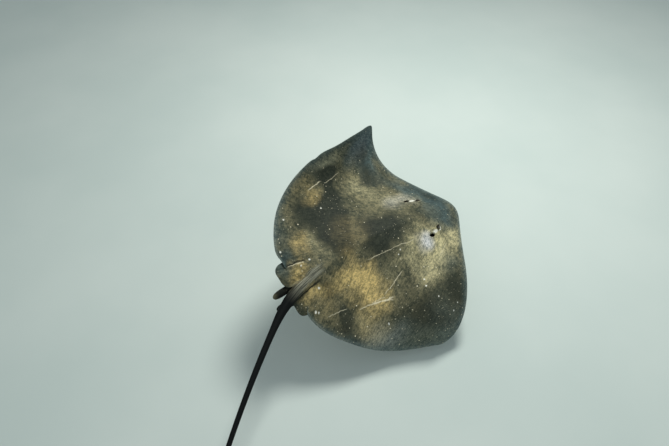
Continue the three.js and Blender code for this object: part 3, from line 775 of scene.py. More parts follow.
DARK_PATCHES = [
    (-0.012, 0.018, 0.06, 0.075, 0, 1.4), (0.045, -0.05, 0.045, 0.04, 0, 0.6),
    (-0.265, -0.06, 0.065, 0.032, 0, 1.8), (-0.15, -0.13, 0.085, 0.055, -10, 3.0),
    (-0.345, -0.068, 0.033, 0.055, 0, 1.2), (-0.19, -0.2, 0.07, 0.03, -15, 0.9),
    (-0.1, -0.145, 0.03, 0.02, 0, 0.6), (-0.25, -0.21, 0.04, 0.02, 0, 0.4),
    (-0.17, -0.25, 0.06, 0.025, -12, 0.25), (-0.04, -0.175, 0.05, 0.035, 0, 0.5),
    (0.345, 0.03, 0.065, 0.12, 0, 0.7), (0.29, -0.08, 0.045, 0.06, 0, 0.2),
    (0.21, -0.28, 0.055, 0.035, 10, 0.8), (0.01, 0.14, 0.03, 0.1, 0, 0.1),
    (-0.31, 0.15, 0.08, 0.03, 25, 0.8), (0.31, 0.19, 0.055, 0.045, -30, 0.8),
    (-0.2, 0.0, 0.07, 0.03, 0, 0.2), (0.19, 0.0, 0.04, 0.04, 0, 0.2),
    (-0.05, 0.34, 0.1, 0.06, 0, 0.4), (0.0, 0.2, 0.04, 0.05, 0, 0.3),
    (-0.12, 0.3, 0.07, 0.03, 25, 0.2), (-0.3, 0.01, 0.04, 0.04, 0, 0.35),
    (0.06, -0.4, 0.03, 0.025, 0, 0.8), (-0.08, -0.385, 0.035, 0.035, 0, 0.5),
    (0.07, 0.105, 0.02, 0.02, 0, 0.4), (-0.27, 0.225, 0.07, 0.03, 22, 0.35),
    (0.05, -0.3, 0.022, 0.022, 0, 1.1), (-0.12, -0.245, 0.04, 0.02, 0, 0.2),
    (-0.1, 0.335, 0.05, 0.03, 30, 0.4),
]
SLATE_PATCHES = [
    (-0.04, 0.345, 0.1, 0.06, 0, 0.9), (-0.12, 0.29, 0.08, 0.035, 25, 0.7),
    (-0.435, 0.115, 0.085, 0.07, 20, 1.4), (-0.3, 0.18, 0.08, 0.04, 22, 0.35),
    (0.42, 0.08, 0.07, 0.08, 0, 0.9), (-0.4, -0.06, 0.04, 0.06, 20, 0.6),
    (0.36, -0.1, 0.05, 0.09, -35, 1.0), (0.31, -0.23, 0.06, 0.055, 30, 0.8),
    (-0.2, 0.25, 0.06, 0.03, 25, 0.2), (-0.08, -0.39, 0.03, 0.04, 0, 0.8),
    (-0.18, -0.33, 0.07, 0.03, -30, 0.25), (0.05, 0.33, 0.05, 0.04, 0, 0.3),
    (0.21, 0.22, 0.05, 0.04, -30, 0.3), (0.0, 0.255, 0.06, 0.03, 0, 0.3),
]
# Pale lilac patches: those round the head are painted glints (painted highlights), the rest are pale skin.
PALE_AND_GLINT_PATCHES = [
    (-0.103, 0.155, 0.03, 0.045, 8, 0.22), (0.1, 0.168, 0.024, 0.025, 0, 0.92),
    (0.09, 0.13, 0.02, 0.025, 0, 0.12), (-0.105, 0.225, 0.035, 0.03, 0, 0.2),
    (0.12, 0.14, 0.02, 0.03, 0, 0.25), (0.29, -0.2, 0.04, 0.05, 0, 0.14),
    (0.345, -0.14, 0.035, 0.05, 0, 0.1), (-0.43, 0.1, 0.06, 0.05, 0, 0.12),
]
SPECKLED_PLACES = [
    (0.38, 0.03, 0.14, 0.2, 0, 1.0), (-0.34, -0.09, 0.08, 0.12, 20, 0.9),
    (0.0, -0.35, 0.2, 0.07, 0, 0.6), (0.1, 0.12, 0.12, 0.1, 0, 0.5),
    (0.25, -0.2, 0.1, 0.1, 0, 0.6), (0.42, 0.0, 0.06, 0.12, 0, 0.8), (0.36, -0.08, 0.08, 0.08, 0, 0.5),
]

PATCH_REACH = 1.9
WAVER = Sizes(scale=7.0, octaves=5, amount=0.045, seeds=(0.5, 9.5))


def patch_strength(x, y, patches):
    """How strongly a list of soft, turned ellipses covers each place."""
    total = numpy.zeros(len(x))
    for middle_x, middle_y, half_width, half_length, turn, strength in patches:
        level, steep = cos(radians(turn)), sin(radians(turn))
        across = ((x - middle_x) * level + (y - middle_y) * steep) / half_width
        along_it = ((y - middle_y) * level - (x - middle_x) * steep) / half_length
        share = numpy.clip(1 - numpy.hypot(across, along_it) / PATCH_REACH, 0, 1)
        total += strength * share * share * (3 - 2 * share)
    return total


def store(mesh, name, *columns):
    layer = mesh.attributes.new(name, "FLOAT_VECTOR", "POINT")
    layer.data.foreach_set("vector", numpy.stack(columns, axis=1).ravel())


def mark(body):
    """Stores on the skin how much of each tone its places carry, along slightly wavering edges."""
    mesh = body.data
    places = numpy.zeros(len(mesh.vertices) * 3)
    mesh.attributes["flat"].data.foreach_get("vector", places)
    x, y = places[0::3], places[1::3]
    scale, octaves = WAVER.scale, WAVER.octaves
    drift = [[noise.fractal(Vector((px * scale, py * scale, seed)), 1, 2, octaves) for seed in WAVER.seeds]
             for px, py in zip(x, y)]
    drift = numpy.array(drift) * WAVER.amount
    wavy = x + drift[:, 0], y + drift[:, 1]
    gold, tawny, dark, slate = [
        patch_strength(*wavy, patches) for patches in (GOLD_PATCHES, TAN_PATCHES, DARK_PATCHES, SLATE_PATCHES)
    ]
    # pale carries the painted glints round the head as well as pale skin.
    pale = patch_strength(x + drift[:, 0] / 3, y + drift[:, 1] / 3, PALE_AND_GLINT_PATCHES)
    store(mesh, "warm", gold, tawny, pale)
    store(mesh, "cool", dark, slate, patch_strength(x, y, SPECKLED_PLACES))


def make_skin():
    body = disc_piece()
    body.name = body.data.name = "skin"
    weld(body, pelvic_piece(-1), pelvic_piece(1), clasper_piece(-1), clasper_piece(1), tail_piece())
    mark(body)
    flesh = ["head", "trunk", "tail_base", "tail_middle", "tail_end", "tail_fold"]
    pairs = ("pectoral_fin", "pelvic_fin", "clasper")
    flesh += [f"{part}_{side}" for part in pairs for side in ("left", "right")]
    return settle(body, "skin", *flesh)


# ---- Eyes and sting

CORNEA = Sizes(bulge=0.09, rises=(0.55, 1))


def eye_piece(name, side):
    """A ball whose pole looks out along the gaze, with a slightly bulged cornea."""
    bm = bmesh.new()
    bmesh.ops.create_uvsphere(bm, u_segments=48, v_segments=32, radius=1)
    gaze = Vector((EYE_GAZE.x * side, EYE_GAZE.y, EYE_GAZE.z))
    aim = Vector((0, 0, 1)).rotation_difference(gaze).to_matrix()
    middle = eyeball_middle(side)
    layer = bm.verts.layers.float_vector.new("gaze")
    for v in bm.verts:
        v[layer] = v.co
        bulge = 1 + CORNEA.bulge * smooth(v.co.z, *CORNEA.rises)
        v.co = placed(*(middle + aim @ v.co * bulge * EYE.radius))
    return settle(finish_mesh(f"ball_of_{name}", bm), "eye", name)


def sting_piece():
    """A flat, pointed blade with a row of barbs on each edge that lean back to its root."""
    bm = bmesh.new()
    count = BARBS.count
    stations, around = count * 5, 12
    bmesh.ops.create_grid(bm, x_segments=stations, y_segments=around, size=0.5)
    length, thickness = STING.length, STING.thickness
    bed = along(TAIL_HALF_WIDTH, STING.at) + thickness * STING.seat
    for v in bm.verts:
        u, turn = v.co.x + 0.5, round((v.co.y + 0.5) * around) % around
        angle = 2 * pi * turn / around
        taper = max(1 - u ** STING.taper, 0) ** 0.5 if 0 < u < 1 else 0
        barb = (1 - (u * count) % 1) * smooth(u, *BARBS.start)
        half_width = STING.width / 2 * taper * (1 - BARBS.depth + BARBS.depth * barb)
        half_thick = thickness / 2 * taper * (1 - STING.groove * bell(cos(angle), STING.groove_width))
        up = bed + length * u * tan(radians(STING.lift)) + half_thick * sin(angle)
        v.co = TAIL_LINE.point(STING.at + length * u, half_width * cos(angle), up)
    close_up(bm, MERGE_REACH / 10)
    return settle(finish_mesh("sting_blade", bm), "sting", "sting")


# ---- The stand

BASE_CORNER = 0.056
BASE_ROUNDING = 0.002
ROD_ROUNDING = 0.0008
COLLAR_ROUNDING = 0.002
CRISP_ANGLE = 32
SCREW = Sizes(radius=0.0032, length=0.004, rounding=0.0004, wall=0.35, socket=0.0015, proud=0.0006,
              height=0.5)


def stand_part(name, bm, *nodes):
    """Puts a finished stand piece in the scene, crisp at its corners and smooth round its curves."""
    piece = finish_mesh(name, bm)
    piece.data.set_sharp_from_angle(angle=radians(CRISP_ANGLE))
    return settle(piece, "stand_steel", *nodes)


def round_level_edges(bm, offset):
    level = [e for e in bm.edges if abs(e.verts[0].co.z - e.verts[1].co.z) < TINY]
    bmesh.ops.bevel(bm, geom=level, affect="EDGES", offset=offset, segments=4, profile=0.5, material=-1)


def base_piece():
    """A flat plate with round corners and softened edges."""
    low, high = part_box("stand_base")
    bm = bmesh.new()
    bmesh.ops.create_grid(bm, x_segments=1, y_segments=1, size=0.5)
    bmesh.ops.scale(bm, vec=(high.x - low.x, high.y - low.y, 1), verts=bm.verts)
    bmesh.ops.translate(bm, vec=((low.x + high.x) / 2, (low.y + high.y) / 2, low.z), verts=bm.verts)
    bmesh.ops.bevel(bm, geom=bm.verts[:], affect="VERTICES", offset=BASE_CORNER, segments=16, profile=0.5,
                    material=-1)
    raised = bmesh.ops.extrude_face_region(bm, geom=bm.faces[:])
    top = [v for v in raised["geom"] if isinstance(v, bmesh.types.BMVert)]
    bmesh.ops.translate(bm, vec=(0, 0, high.z - low.z), verts=top)
    round_level_edges(bm, BASE_ROUNDING)
    return stand_part("stand_plate", bm, "stand_base")


def upright_bar(segments, radius, length):
    bm = bmesh.new()
    bmesh.ops.create_cone(bm, segments=segments, radius1=radius, radius2=radius, depth=length, cap_ends=True)
    return bm


def turned_piece(name, node, rounding):
    """A round bar or ring cut to the box of its solid, with softened ends."""
    low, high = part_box(node)
    bm = upright_bar(64, (high.x - low.x) / 2, high.z - low.z)
    bmesh.ops.translate(bm, vec=(low + high) / 2, verts=bm.verts)
    round_level_edges(bm, rounding)
    return stand_part(name, bm, node)


def screw_piece(where):
    """The small headless screw that locks a rod in its collar."""
    low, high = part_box(f"stand_collar_{where}")
    bm = upright_bar(24, SCREW.radius, SCREW.length)
    round_level_edges(bm, SCREW.rounding)
    outer = max(bm.faces, key=lambda f: f.calc_center_median().z)
    bmesh.ops.inset_individual(bm, faces=[outer], thickness=SCREW.radius * SCREW.wall)
    bmesh.ops.translate(bm, vec=(0, 0, -SCREW.socket), verts=outer.verts)
    bmesh.ops.rotate(bm, matrix=Matrix.Rotation(radians(90), 3, "Y"), verts=bm.verts)
    x = high.x + SCREW.proud - SCREW.length / 2
    z = lerp(low.z, high.z, SCREW.height)
    bmesh.ops.translate(bm, vec=(x, (low.y + high.y) / 2, z), verts=bm.verts)
    return stand_part(f"stand_screw_{where}", bm)


def make_stand():
    pieces = [base_piece()]
    for where in ("front", "rear"):
        pieces.append(turned_piece(f"stand_bar_{where}", f"stand_rod_{where}", ROD_ROUNDING))
        pieces.append(turned_piece(f"stand_ring_{where}", f"stand_collar_{where}", COLLAR_ROUNDING))
        pieces.append(screw_piece(where))
    return pieces


# ---- Finishes

class Value:
    """A shader socket; arithmetic on it adds Math nodes to its finish."""

    def __init__(self, finish, socket):
        self.finish = finish
        self.socket = socket

    def maths(self, operation, *terms):
        return self.finish.node("ShaderNodeMath", {"operation": operation}, dict(enumerate(terms)))

    def __add__(self, other):
        return self.maths("ADD", self, other)

    def __sub__(self, other):
        return self.maths("SUBTRACT", self, other)

    def __rsub__(self, other):
        return self.maths("SUBTRACT", other, self)

    def __mul__(self, other):
        return self.maths("MULTIPLY", self, other)

    __radd__ = __add__
    __rmul__ = __mul__


class Finish:
    """A procedural material under construction, with one Principled shader."""

    def __init__(self, name, **constants):
        self.material = bpy.data.materials.new(name)
        self.material.use_nodes = True
        self.tree = self.material.node_tree
        self.shader = self.tree.nodes["Principled BSDF"]
        for socket, value in constants.items():
            self.shader.inputs[socket.replace("_", " ")].default_value = value

    def node(self, kind, settings=None, inputs=None, output=0):
        """A node with its settings made first and its sockets fed; returns one of its outputs."""
        made = self.tree.nodes.new(kind)
        for key, value in (settings or {}).items():
            setattr(made, key, value)
        for key, value in (inputs or {}).items():
            self.feed(made.inputs[key], value)
        return Value(self, made.outputs[output])

    def feed(self, socket, value):
        if isinstance(value, Value):
            self.tree.links.new(value.socket, socket)
        else:
            socket.default_value = value

    def drive(self, **sockets):
        for name, value in sockets.items():
            self.feed(self.shader.inputs[name.replace("_", " ")], value)

    def object_place(self):
        return self.node("ShaderNodeTexCoord", output="Object")

    def attribute(self, name):
        return self.node("ShaderNodeAttribute", {"attribute_name": name}, output="Vector")

    def part(self, vector, axis):
        return self.node("ShaderNodeSeparateXYZ", inputs={0: vector}, output=axis)

    def joined(self, x, y, z):
        return self.node("ShaderNodeCombineXYZ", inputs={0: x, 1: y, 2: z})

    def vector_maths(self, operation, first, second=(0, 0, 0), output=0):
        return self.node("ShaderNodeVectorMath", {"operation": operation}, {0: first, 1: second}, output)

    def length(self, vector):
        return self.vector_maths("LENGTH", vector, output="Value")

    def noise(self, vector, scale, detail=3, roughness=0.5, distortion=0, output=0):
        inputs = {"Vector": vector, "Scale": scale, "Detail": detail, "Roughness": roughness,
                  "Distortion": distortion}
        return self.node("ShaderNodeTexNoise", inputs=inputs, output=output)

    def cells(self, vector, scale, output="Distance"):
        return self.node("ShaderNodeTexVoronoi", inputs={"Vector": vector, "Scale": scale}, output=output)

    def ramp(self, value, start, end, low=0, high=1):
        """value carried smoothly from start..end to low..high."""
        inputs = {"Value": value, "From Min": start, "From Max": end, "To Min": low, "To Max": high}
        return self.node("ShaderNodeMapRange", {"interpolation_type": "SMOOTHSTEP"}, inputs)

    def limited(self, value):
        """value kept between 0 and 1."""
        return self.node("ShaderNodeClamp", inputs={"Value": value})

    def mix(self, share, first, second, blend="MIX"):
        settings = {"data_type": "RGBA", "blend_type": blend}
        return self.node("ShaderNodeMix", settings, {0: share, 6: first, 7: second}, 2)

    def size(self, value):
        return value.maths("ABSOLUTE", value)

    def larger(self, first, second):
        """The larger of two values, or the second where there is no first."""
        return second if first is None else first.maths("MAXIMUM", first, second)

    def shifted(self, vector, push, amount):
        """vector moved by amount times a centred noise colour."""
        centred = self.vector_maths("SUBTRACT", push, (0.5, 0.5, 0.5))
        return self.vector_maths("ADD", vector, self.vector_maths("MULTIPLY", centred, (amount,) * 3))

    def stretched(self, vector, scale):
        return self.node("ShaderNodeMapping", inputs={"Vector": vector, "Scale": scale})

    def local(self, vector, x, y, half_width, half_length, turn, half_height=1000):
        """vector seen from a turned ellipse, where the ellipse has radius 1."""
        inputs = {"Vector": vector, "Location": (x, y, 0), "Rotation": (0, 0, radians(turn)),
                  "Scale": (half_width, half_length, half_height)}
        return self.node("ShaderNodeMapping", {"vector_type": "TEXTURE"}, inputs)

    def within(self, vector, spot):
        return self.local(vector, spot.x, spot.y, spot.half_width, spot.half_length, spot.turn)

    def bump(self, *layers):
        """Bump layers of (height, metres) one over another, fed to the shader's normal."""
        normal = None
        for height, depth in layers:
            inputs = {"Height": height, "Distance": depth, "Strength": 1.0}
            if normal is not None:
                inputs["Normal"] = normal
            normal = self.node("ShaderNodeBump", inputs=inputs)
        self.drive(Normal=normal)


def colour(red, green, blue):
    return (red, green, blue, 1)


OLIVE = colour(0.135, 0.126, 0.078)
DARK_OLIVE = colour(0.054, 0.060, 0.042)
GOLD = colour(0.54, 0.41, 0.175)
TAN = colour(0.47, 0.43, 0.255)
SLATE = colour(0.066, 0.104, 0.112)
UMBER = colour(0.029, 0.034, 0.026)
SMUDGE = colour(0.62, 0.66, 0.66)
DUST = colour(1.44, 1.38, 1.28)
# Lilac: pale skin, and painted glints round the head.
LILAC_AND_GLINT = colour(0.58, 0.59, 0.60)
SCAR = colour(0.78, 0.70, 0.49)
# Cream: the pale specks, and the painted highlights by the eyes.
CREAM_SPECK_AND_HIGHLIGHT = colour(0.84, 0.82, 0.72)
BELLY_WHITE = colour(0.66, 0.63, 0.58)
BELLY_SHADE = colour(0.55, 0.50, 0.46)
TAIL_BLACK = colour(0.006, 0.007, 0.007)
ROOT_GREY = colour(0.36, 0.35, 0.26)
ROOT_DARK = colour(0.05, 0.052, 0.044)
# Painted shade: near-black for the eye sockets and the spiracles' openings.
HOLLOW_SHADE = colour(0.004, 0.004, 0.004)
# Painted shadow in the creases beside the tail's root and where the disc overlaps the pelvic fin.
CREVICE_SHADOW = colour(0.015, 0.018, 0.015)
# Partly the margin's own paler edge, partly a painted edge highlight.
RIM_PALE_AND_HIGHLIGHT = colour(0.17, 0.21, 0.20)

MARK_SHAKE = 0.014  # how far scratches and specks stray from their shapes, in disc widths
HEAD_SHAKE = 0.003
# Where painted shade rings the eye's opening.
EYE_SHADE_RING = Sizes(x=0.0705, y=0.2485, half_width=0.00735, half_length=0.01155, turn=0)
# Where a painted highlight lies on the ridge between spiracle and eye.
RIDGE_HIGHLIGHT = Sizes(x=0.0805, y=0.2255, half_width=0.006, half_length=0.0155, turn=4)
TAIL_SIDE = 0.027  # where the painted shadow in the crease beside the tail's root runs, from the midline
# Where a painted shadow lies under the disc's rear edge, over the pelvic fin.
HIP_SHADOW = Sizes(x=-0.0705, y=-0.344, half_width=0.046, half_length=0.0032, turn=73)

# Specks all over: cells in a metre, radius in cells, share of the cells that hold one, strength.

SPECK_SIZES = [(130, 0.26, 0.12, 0.4), (70, 0.2, 0.1, 0.8), (38, 0.14, 0.07, 0.95)]

# Healed scratches: x, y, half length, turn of the stroke from x in degrees, bow, half width, strength.

SCRATCHES = [
    (0.070, 0.006, 0.122, 85.5, -0.004, 0.0012, 0.6), (0.174, -0.05, 0.06, -71, 0.003, 0.0013, 0.75),
    (0.203, -0.118, 0.05, 73, -0.004, 0.0026, 1.0), (0.191, -0.178, 0.04, 78, 0.002, 0.0015, 0.85),
    (0.216, -0.1, 0.026, 62, 0.002, 0.0012, 0.8), (0.196, -0.13, 0.03, 80, 0.002, 0.0011, 0.7),
    (0.147, -0.295, 0.045, 78, 0.003, 0.0012, 0.6), (-0.314, -0.037, 0.045, -66, 0.003, 0.0012, 0.5),
    (-0.294, -0.12, 0.038, -70, -0.003, 0.0017, 0.8), (0.15, 0.225, 0.045, -62, 0.002, 0.0014, 0.4),
    (0.17, 0.2, 0.04, -62, 0.002, 0.0012, 0.3), (-0.065, -0.346, 0.036, 70, 0.002, 0.0014, 0.7),
]

PALE_SPECKS = [  # x, y, radius, strength
    (0.044, -0.313, 0.0042, 0.9), (-0.125, -0.372, 0.004, 0.8), (0.1, -0.366, 0.005, 0.9),
    (0.107, -0.356, 0.003, 0.7), (0.225, 0.064, 0.0042, 0.9), (0.247, 0.058, 0.0036, 1.0),
    (0.092, 0.032, 0.0032, 0.8), (0.1, 0.016, 0.0026, 0.8), (0.375, 0.138, 0.0038, 0.9),
    (0.355, 0.165, 0.003, 0.8), (0.28, -0.134, 0.004, 0.8), (-0.202, -0.134, 0.0036, 0.8),
    (-0.214, -0.296, 0.0034, 0.8), (-0.054, -0.292, 0.0045, 0.8), (0.3, 0.09, 0.003, 0.8),
    (-0.05, -0.33, 0.0035, 0.7),
]


class SkinFinish(Finish):
    """The skin's material with the places and grain that all its markings share."""

    def __init__(self):
        super().__init__("stingray_skin", Specular_IOR_Level=0.05)
        self.here = self.object_place()
        self.flat = self.attribute("flat")
        self.x, self.front, self.inland = [self.part(self.flat, axis) for axis in "XYZ"]
        self.on_back = self.ramp(self.inland, 0.0, 0.02)
        self.blotch = self.noise(self.here, 13, 6, 0.62)
        self.mottle = self.noise(self.here, 62, 5, 0.62)
        self.grain = self.noise(self.here, 170, 4, 0.7)
        sided = self.joined(self.size(self.x), self.front, self.x)
        self.brushed = self.noise(self.local(sided, 0, 0, 0.0045, 0.026, 28, 0.06), 1, 4, 0.6, 0.5)
        coarse = (self.blotch - 0.5) * 0.8 + (self.mottle - 0.5) * 0.8
        self.rough_edge = coarse + (self.grain - 0.5) * 0.3 + (self.brushed - 0.5) * 0.7
        self.jitter = self.noise(self.here, 34, 4, output="Color")
        self.shaky = self.shifted(self.flat, self.jitter, MARK_SHAKE)
        self.broken = self.ramp(self.grain, 0.36, 0.56, 0.5, 1)


def ground(f, warm, cool):
    """The tones of the back one over another, with feathered, grainy edges."""
    grade = f.blotch * 0.55 + f.mottle * 0.35 + f.brushed * 0.1
    base = f.mix(f.ramp(grade, 0.38, 0.62), DARK_OLIVE, OLIVE)
    tones = [(cool, "Y", SLATE), (warm, "Y", TAN), (cool, "X", UMBER), (warm, "X", GOLD), (warm, "Z", LILAC_AND_GLINT)]
    for fields, axis, tone in tones:
        field = f.part(fields, axis)
        base = f.mix(f.limited(field + field * f.rough_edge * 1.35), base, tone)
    base = f.mix(f.ramp(f.inland + f.rough_edge * 0.06, 0.12, 0.0, 0, 0.42), base, SLATE)
    # A paler rim: partly the margin's own pale edge, partly a painted edge highlight.
    base = f.mix(f.ramp(f.inland + f.rough_edge * 0.02, 0.05, 0.0, 0, 0.4), base, RIM_PALE_AND_HIGHLIGHT)
    dusty = f.ramp(f.mottle * 0.28 + f.grain * 0.42 + f.brushed * 0.3, 0.41, 0.59)
    return f.mix(1.0, base, f.mix(dusty, SMUDGE, DUST), "MULTIPLY")


def scratched(f, base):
    """Thin, bowed, broken strokes that fade at both ends."""
    strokes = None
    for x, y, half_length, turn, bow, half_width, strength in SCRATCHES:
        spot = f.local(f.shaky, x, y, half_length, half_length, turn)
        u, v = f.part(spot, "X"), f.part(spot, "Y")
        off = v - (1 - u * u) * (bow / half_length)
        line = f.ramp(f.size(off), half_width / half_length * 1.9, 0)
        strokes = f.larger(strokes, line * f.ramp(f.size(u), 1.0, 0.7, 0, strength))
    return f.mix(strokes * f.broken * f.on_back, base, SCAR)


def specked(f, base, crowding):
    """The larger pale specks one by one, then fine ones all over."""
    for x, y, radius, strength in PALE_SPECKS:
        spot = f.local(f.shaky, x, y, radius, radius, 0)
        base = f.mix(f.ramp(f.length(spot), 1.2, 0.5, 0, strength) * f.on_back, base, CREAM_SPECK_AND_HIGHLIGHT)
    specks = None
    for scale, radius, share, strength in SPECK_SIZES:
        chance = f.part(f.cells(f.here, scale, "Color"), "X") + crowding * 0.13
        dots = f.ramp(f.cells(f.here, scale), radius, radius * 0.5, 0, strength)
        specks = f.larger(specks, dots * f.ramp(chance, 1 - share, 1.02 - share))
    return f.mix(specks * f.ramp(f.inland, -0.02, 0.0), base, SCAR)


def headed(f, base):
    """Painted shade round the eyes and inside the spiracles, and painted highlights on the pale ridge and lid
    edge behind the eyes.
    """
    mirrored = f.shifted(f.joined(f.size(f.x), f.front, 0.0), f.jitter, HEAD_SHAKE)
    ring = f.within(mirrored, EYE_SHADE_RING)
    ring_far = f.length(ring)
    # Painted shade: near-black round the eye's opening, in its socket.
    base = f.mix(f.ramp(ring_far, 1.2, 0.8, 0, 0.9) * f.on_back, base, HOLLOW_SHADE)
    # Painted highlight: a broken cream streak on the ridge between spiracle and eye.
    ridge_far = f.length(f.within(mirrored, RIDGE_HIGHLIGHT))
    base = f.mix(f.ramp(ridge_far, 1.35, 0.5) * f.broken * f.on_back, base, CREAM_SPECK_AND_HIGHLIGHT)
    # Painted highlight: a cream crescent on the front and outer edge of the lid.
    outer_side = f.ramp(f.part(ring, "Y") + f.part(ring, "X") * 0.4, 0.1, 1.2)
    lid_highlight = f.ramp(ring_far, 1.2, 1.4) * f.ramp(ring_far, 1.85, 1.45) * outer_side
    base = f.mix(lid_highlight * f.broken * f.on_back, base, CREAM_SPECK_AND_HIGHLIGHT)
    # Painted shade: near-black inside the spiracle's opening.
    pit = f.local(mirrored, SPIRACLE.x, SPIRACLE.y, SPIRACLE.width, SPIRACLE.length, -SPIRACLE.turn)
    return f.mix(f.ramp(f.length(pit), 1.02, 0.86) * f.on_back, base, HOLLOW_SHADE)


def bellied(f, base):
    below = f.ramp(f.inland + f.rough_edge * 0.05, -0.07, -0.16)
    belly = f.mix(f.ramp(f.blotch, 0.35, 0.7), BELLY_WHITE, BELLY_SHADE)
    return f.mix(below, base, belly)


def tailed(f, base):
    """Painted shadow in the creases by the tail, the streaks on its root, its black and the claspers' dark."""
    limb = f.attribute("limb")
    w = f.size(f.x)
    # Painted shadow where the disc's rear edge lies over the pelvic fin.
    hip = f.within(f.shaky, HIP_SHADOW)
    hip_shade = f.ramp(f.size(f.part(hip, "Y")), 1.1, 0.2)
    hip_shade *= f.ramp(f.size(f.part(hip, "X")), 1.0, 0.6)
    # Painted shadow along the crease beside the tail's root, stronger on the right side.
    beside = f.ramp(f.size(w - TAIL_SIDE), 0.006, 0.001) * f.ramp(f.front, -0.28, -0.32)
    crease_shadow = f.limited(beside * f.ramp(f.x, -0.01, 0.01, 0.3, 0.95) + hip_shade * 0.85)
    base = f.mix(crease_shadow * f.on_back, base, CREVICE_SHADOW)
    fibres = f.noise(f.stretched(f.flat, (260, 9, 0)), 1, 3, 0.6)
    streaks = f.mix(f.ramp(fibres, 0.36, 0.66), ROOT_DARK, ROOT_GREY)
    root = f.ramp(w + (f.mottle - 0.5) * 0.016, 0.024, 0.008) * f.ramp(f.front, -0.25, -0.31)
    base = f.mix(root * 0.85 * f.on_back, base, streaks)
    base = f.mix(f.part(limb, "X") * f.ramp(f.front, -0.33, -0.45), base, TAIL_BLACK)
    left_tip = f.ramp(f.front, -0.45, -0.475) * f.ramp(f.x, 0.005, -0.005)
    return f.mix(f.part(limb, "Y") * 0.9, base, f.mix(left_tip, TAIL_BLACK, OLIVE))


def skin_finish():
    """Mottled olive above, pale below and near-black on the tail, with scratches and specks."""
    f = SkinFinish()
    cool = f.attribute("cool")
    base = scratched(f, ground(f, f.attribute("warm"), cool))
    base = specked(f, base, f.part(cool, "Z"))
    f.drive(Base_Color=tailed(f, bellied(f, headed(f, base))))
    f.drive(Roughness=f.ramp(f.grain, 0.3, 0.7, 0.45, 0.65))
    wrinkles = f.noise(f.here, 42, 4, 0.55)
    f.bump((wrinkles, 0.0016), (f.grain, 0.0004), (f.cells(f.here, 260), 0.00025))
    return f.material


def eye_finish():
    """A dark pupil in a bronze iris under a wet cornea, with the white hidden by grey skin."""
    f = Finish("stingray_eye", Roughness=0.06, Coat_Weight=1.0, Coat_Roughness=0.03)
    gaze = f.attribute("gaze")
    x, y, z = [f.part(gaze, axis) for axis in "XYZ"]
    off_pupil = f.length(f.joined(x * 1.9, y * 1.3, 0.0))
    threads = f.noise(f.stretched(gaze, (9, 9, 2)), 2.5, 4)
    iris = f.mix(threads, colour(0.018, 0.014, 0.008), colour(0.085, 0.062, 0.026))
    colours = f.mix(f.ramp(z, 0.72, 0.66), iris, colour(0.012, 0.013, 0.013))
    f.drive(Base_Color=f.mix(f.ramp(off_pupil, 0.62, 0.52), colours, colour(0.002, 0.002, 0.003)))
    return f.material


def sting_finish():
    """Ivory dentine with browner stains."""
    f = Finish("sting_dentine", Specular_IOR_Level=0.4)
    here = f.object_place()
    stain = f.noise(here, 90, 4, 0.6)
    fine = f.noise(here, 700, 3)
    f.drive(Base_Color=f.mix(f.ramp(stain, 0.3, 0.7), colour(0.60, 0.52, 0.38), colour(0.28, 0.21, 0.13)))
    f.drive(Roughness=f.ramp(fine, 0.3, 0.7, 0.38, 0.6))
    f.bump((fine, 0.0002))
    return f.material


def steel_finish(name, stretch):
    """Brushed steel whose fine lines run round or along the piece."""
    f = Finish(name, Metallic=1.0)
    lines = f.noise(f.stretched(f.object_place(), stretch), 40, 5, 0.7)
    haze = f.noise(f.object_place(), 9, 3)
    f.drive(Base_Color=f.mix(f.ramp(haze, 0.3, 0.7), colour(0.50, 0.51, 0.52), colour(0.62, 0.63, 0.64)))
    f.drive(Roughness=f.ramp(lines, 0.3, 0.7, 0.24, 0.42))
    f.bump((lines, 0.00008))
    return f.material


def floor_finish():
    f = Finish("studio_floor", Roughness=0.85)
    drift = f.noise(f.object_place(), 0.8, 4)
    f.drive(Base_Color=f.mix(f.ramp(drift, 0.3, 0.7), colour(0.50, 0.57, 0.53), colour(0.56, 0.62, 0.575)))
    return f.material


def paint(pieces, material):
    for piece in pieces:
        piece.data.materials.clear()
        piece.data.materials.append(material)


# ---- Studio and camera

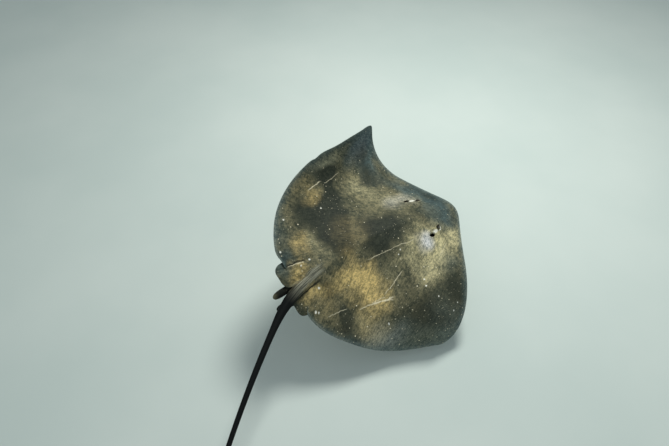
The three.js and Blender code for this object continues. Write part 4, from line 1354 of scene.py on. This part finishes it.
FLOOR_HALF = 14.0
CAMERA = Sizes(azimuth=55.44, elevation=46.85, field=60.88, back=2.212, right=-0.1596, up=0.0761)
LAMPS = [  # name, place, size, power, tint
    ("key", (-0.9, 1.5, 3.3), 1.1, 112, (0.99, 1.0, 0.97)),
    ("fill", (2.8, -2.6, 2.6), 3.0, 22, (0.88, 0.95, 1.0)),
]
SKY = {"Color": (0.80, 0.90, 0.95, 1), "Strength": 0.42}
SUBJECT = Vector((*DISC_SHIFT, RIDE_HEIGHT))


def make_floor():
    bm = bmesh.new()
    bmesh.ops.create_grid(bm, x_segments=4, y_segments=4, size=FLOOR_HALF)
    floor = finish_mesh("studio_floor", bm, closed=False)
    return floor


def facing(direction):
    return direction.to_track_quat("-Z", "Y").to_euler()


def make_lights():
    for name, place_at, size, power, tint in LAMPS:
        lamp = bpy.data.lights.new(name, "AREA")
        lamp.shape, lamp.size, lamp.energy, lamp.color = "DISK", size, power, tint
        holder = bpy.data.objects.new(name, lamp)
        holder.location = place_at
        holder.rotation_euler = facing(SUBJECT - holder.location)
        bpy.context.scene.collection.objects.link(holder)
    world = bpy.data.worlds.new("studio")
    world.use_nodes = True
    for socket, value in SKY.items():
        world.node_tree.nodes["Background"].inputs[socket].default_value = value
    bpy.context.scene.world = world
    bpy.context.scene.view_settings.view_transform = "Standard"


def make_camera():
    """Behind and to the right of the animal, looking down on it."""
    azimuth, elevation = radians(CAMERA.azimuth), radians(CAMERA.elevation)
    level = cos(elevation)
    forward = Vector((-sin(azimuth) * level, cos(azimuth) * level, -sin(elevation)))
    right = forward.cross(Vector((0, 0, 1))).normalized()
    up = right.cross(forward)
    shift = right * CAMERA.right + up * CAMERA.up - forward * CAMERA.back
    data = bpy.data.cameras.new("camera")
    data.angle = radians(CAMERA.field)
    camera = bpy.data.objects.new("camera", data)
    camera.location = SUBJECT + shift * DISC_WIDTH
    camera.rotation_euler = facing(forward)
    bpy.context.scene.collection.objects.link(camera)
    bpy.context.scene.camera = camera


# ---- Putting it together

make_camera()
paint([make_skin()], skin_finish())
paint([eye_piece("eye_left", -1), eye_piece("eye_right", 1)], eye_finish())
paint([sting_piece()], sting_finish())
paint(make_stand(), steel_finish("stand_steel_brushed", (1, 1, 26)))
paint([make_floor()], floor_finish())
make_lights()
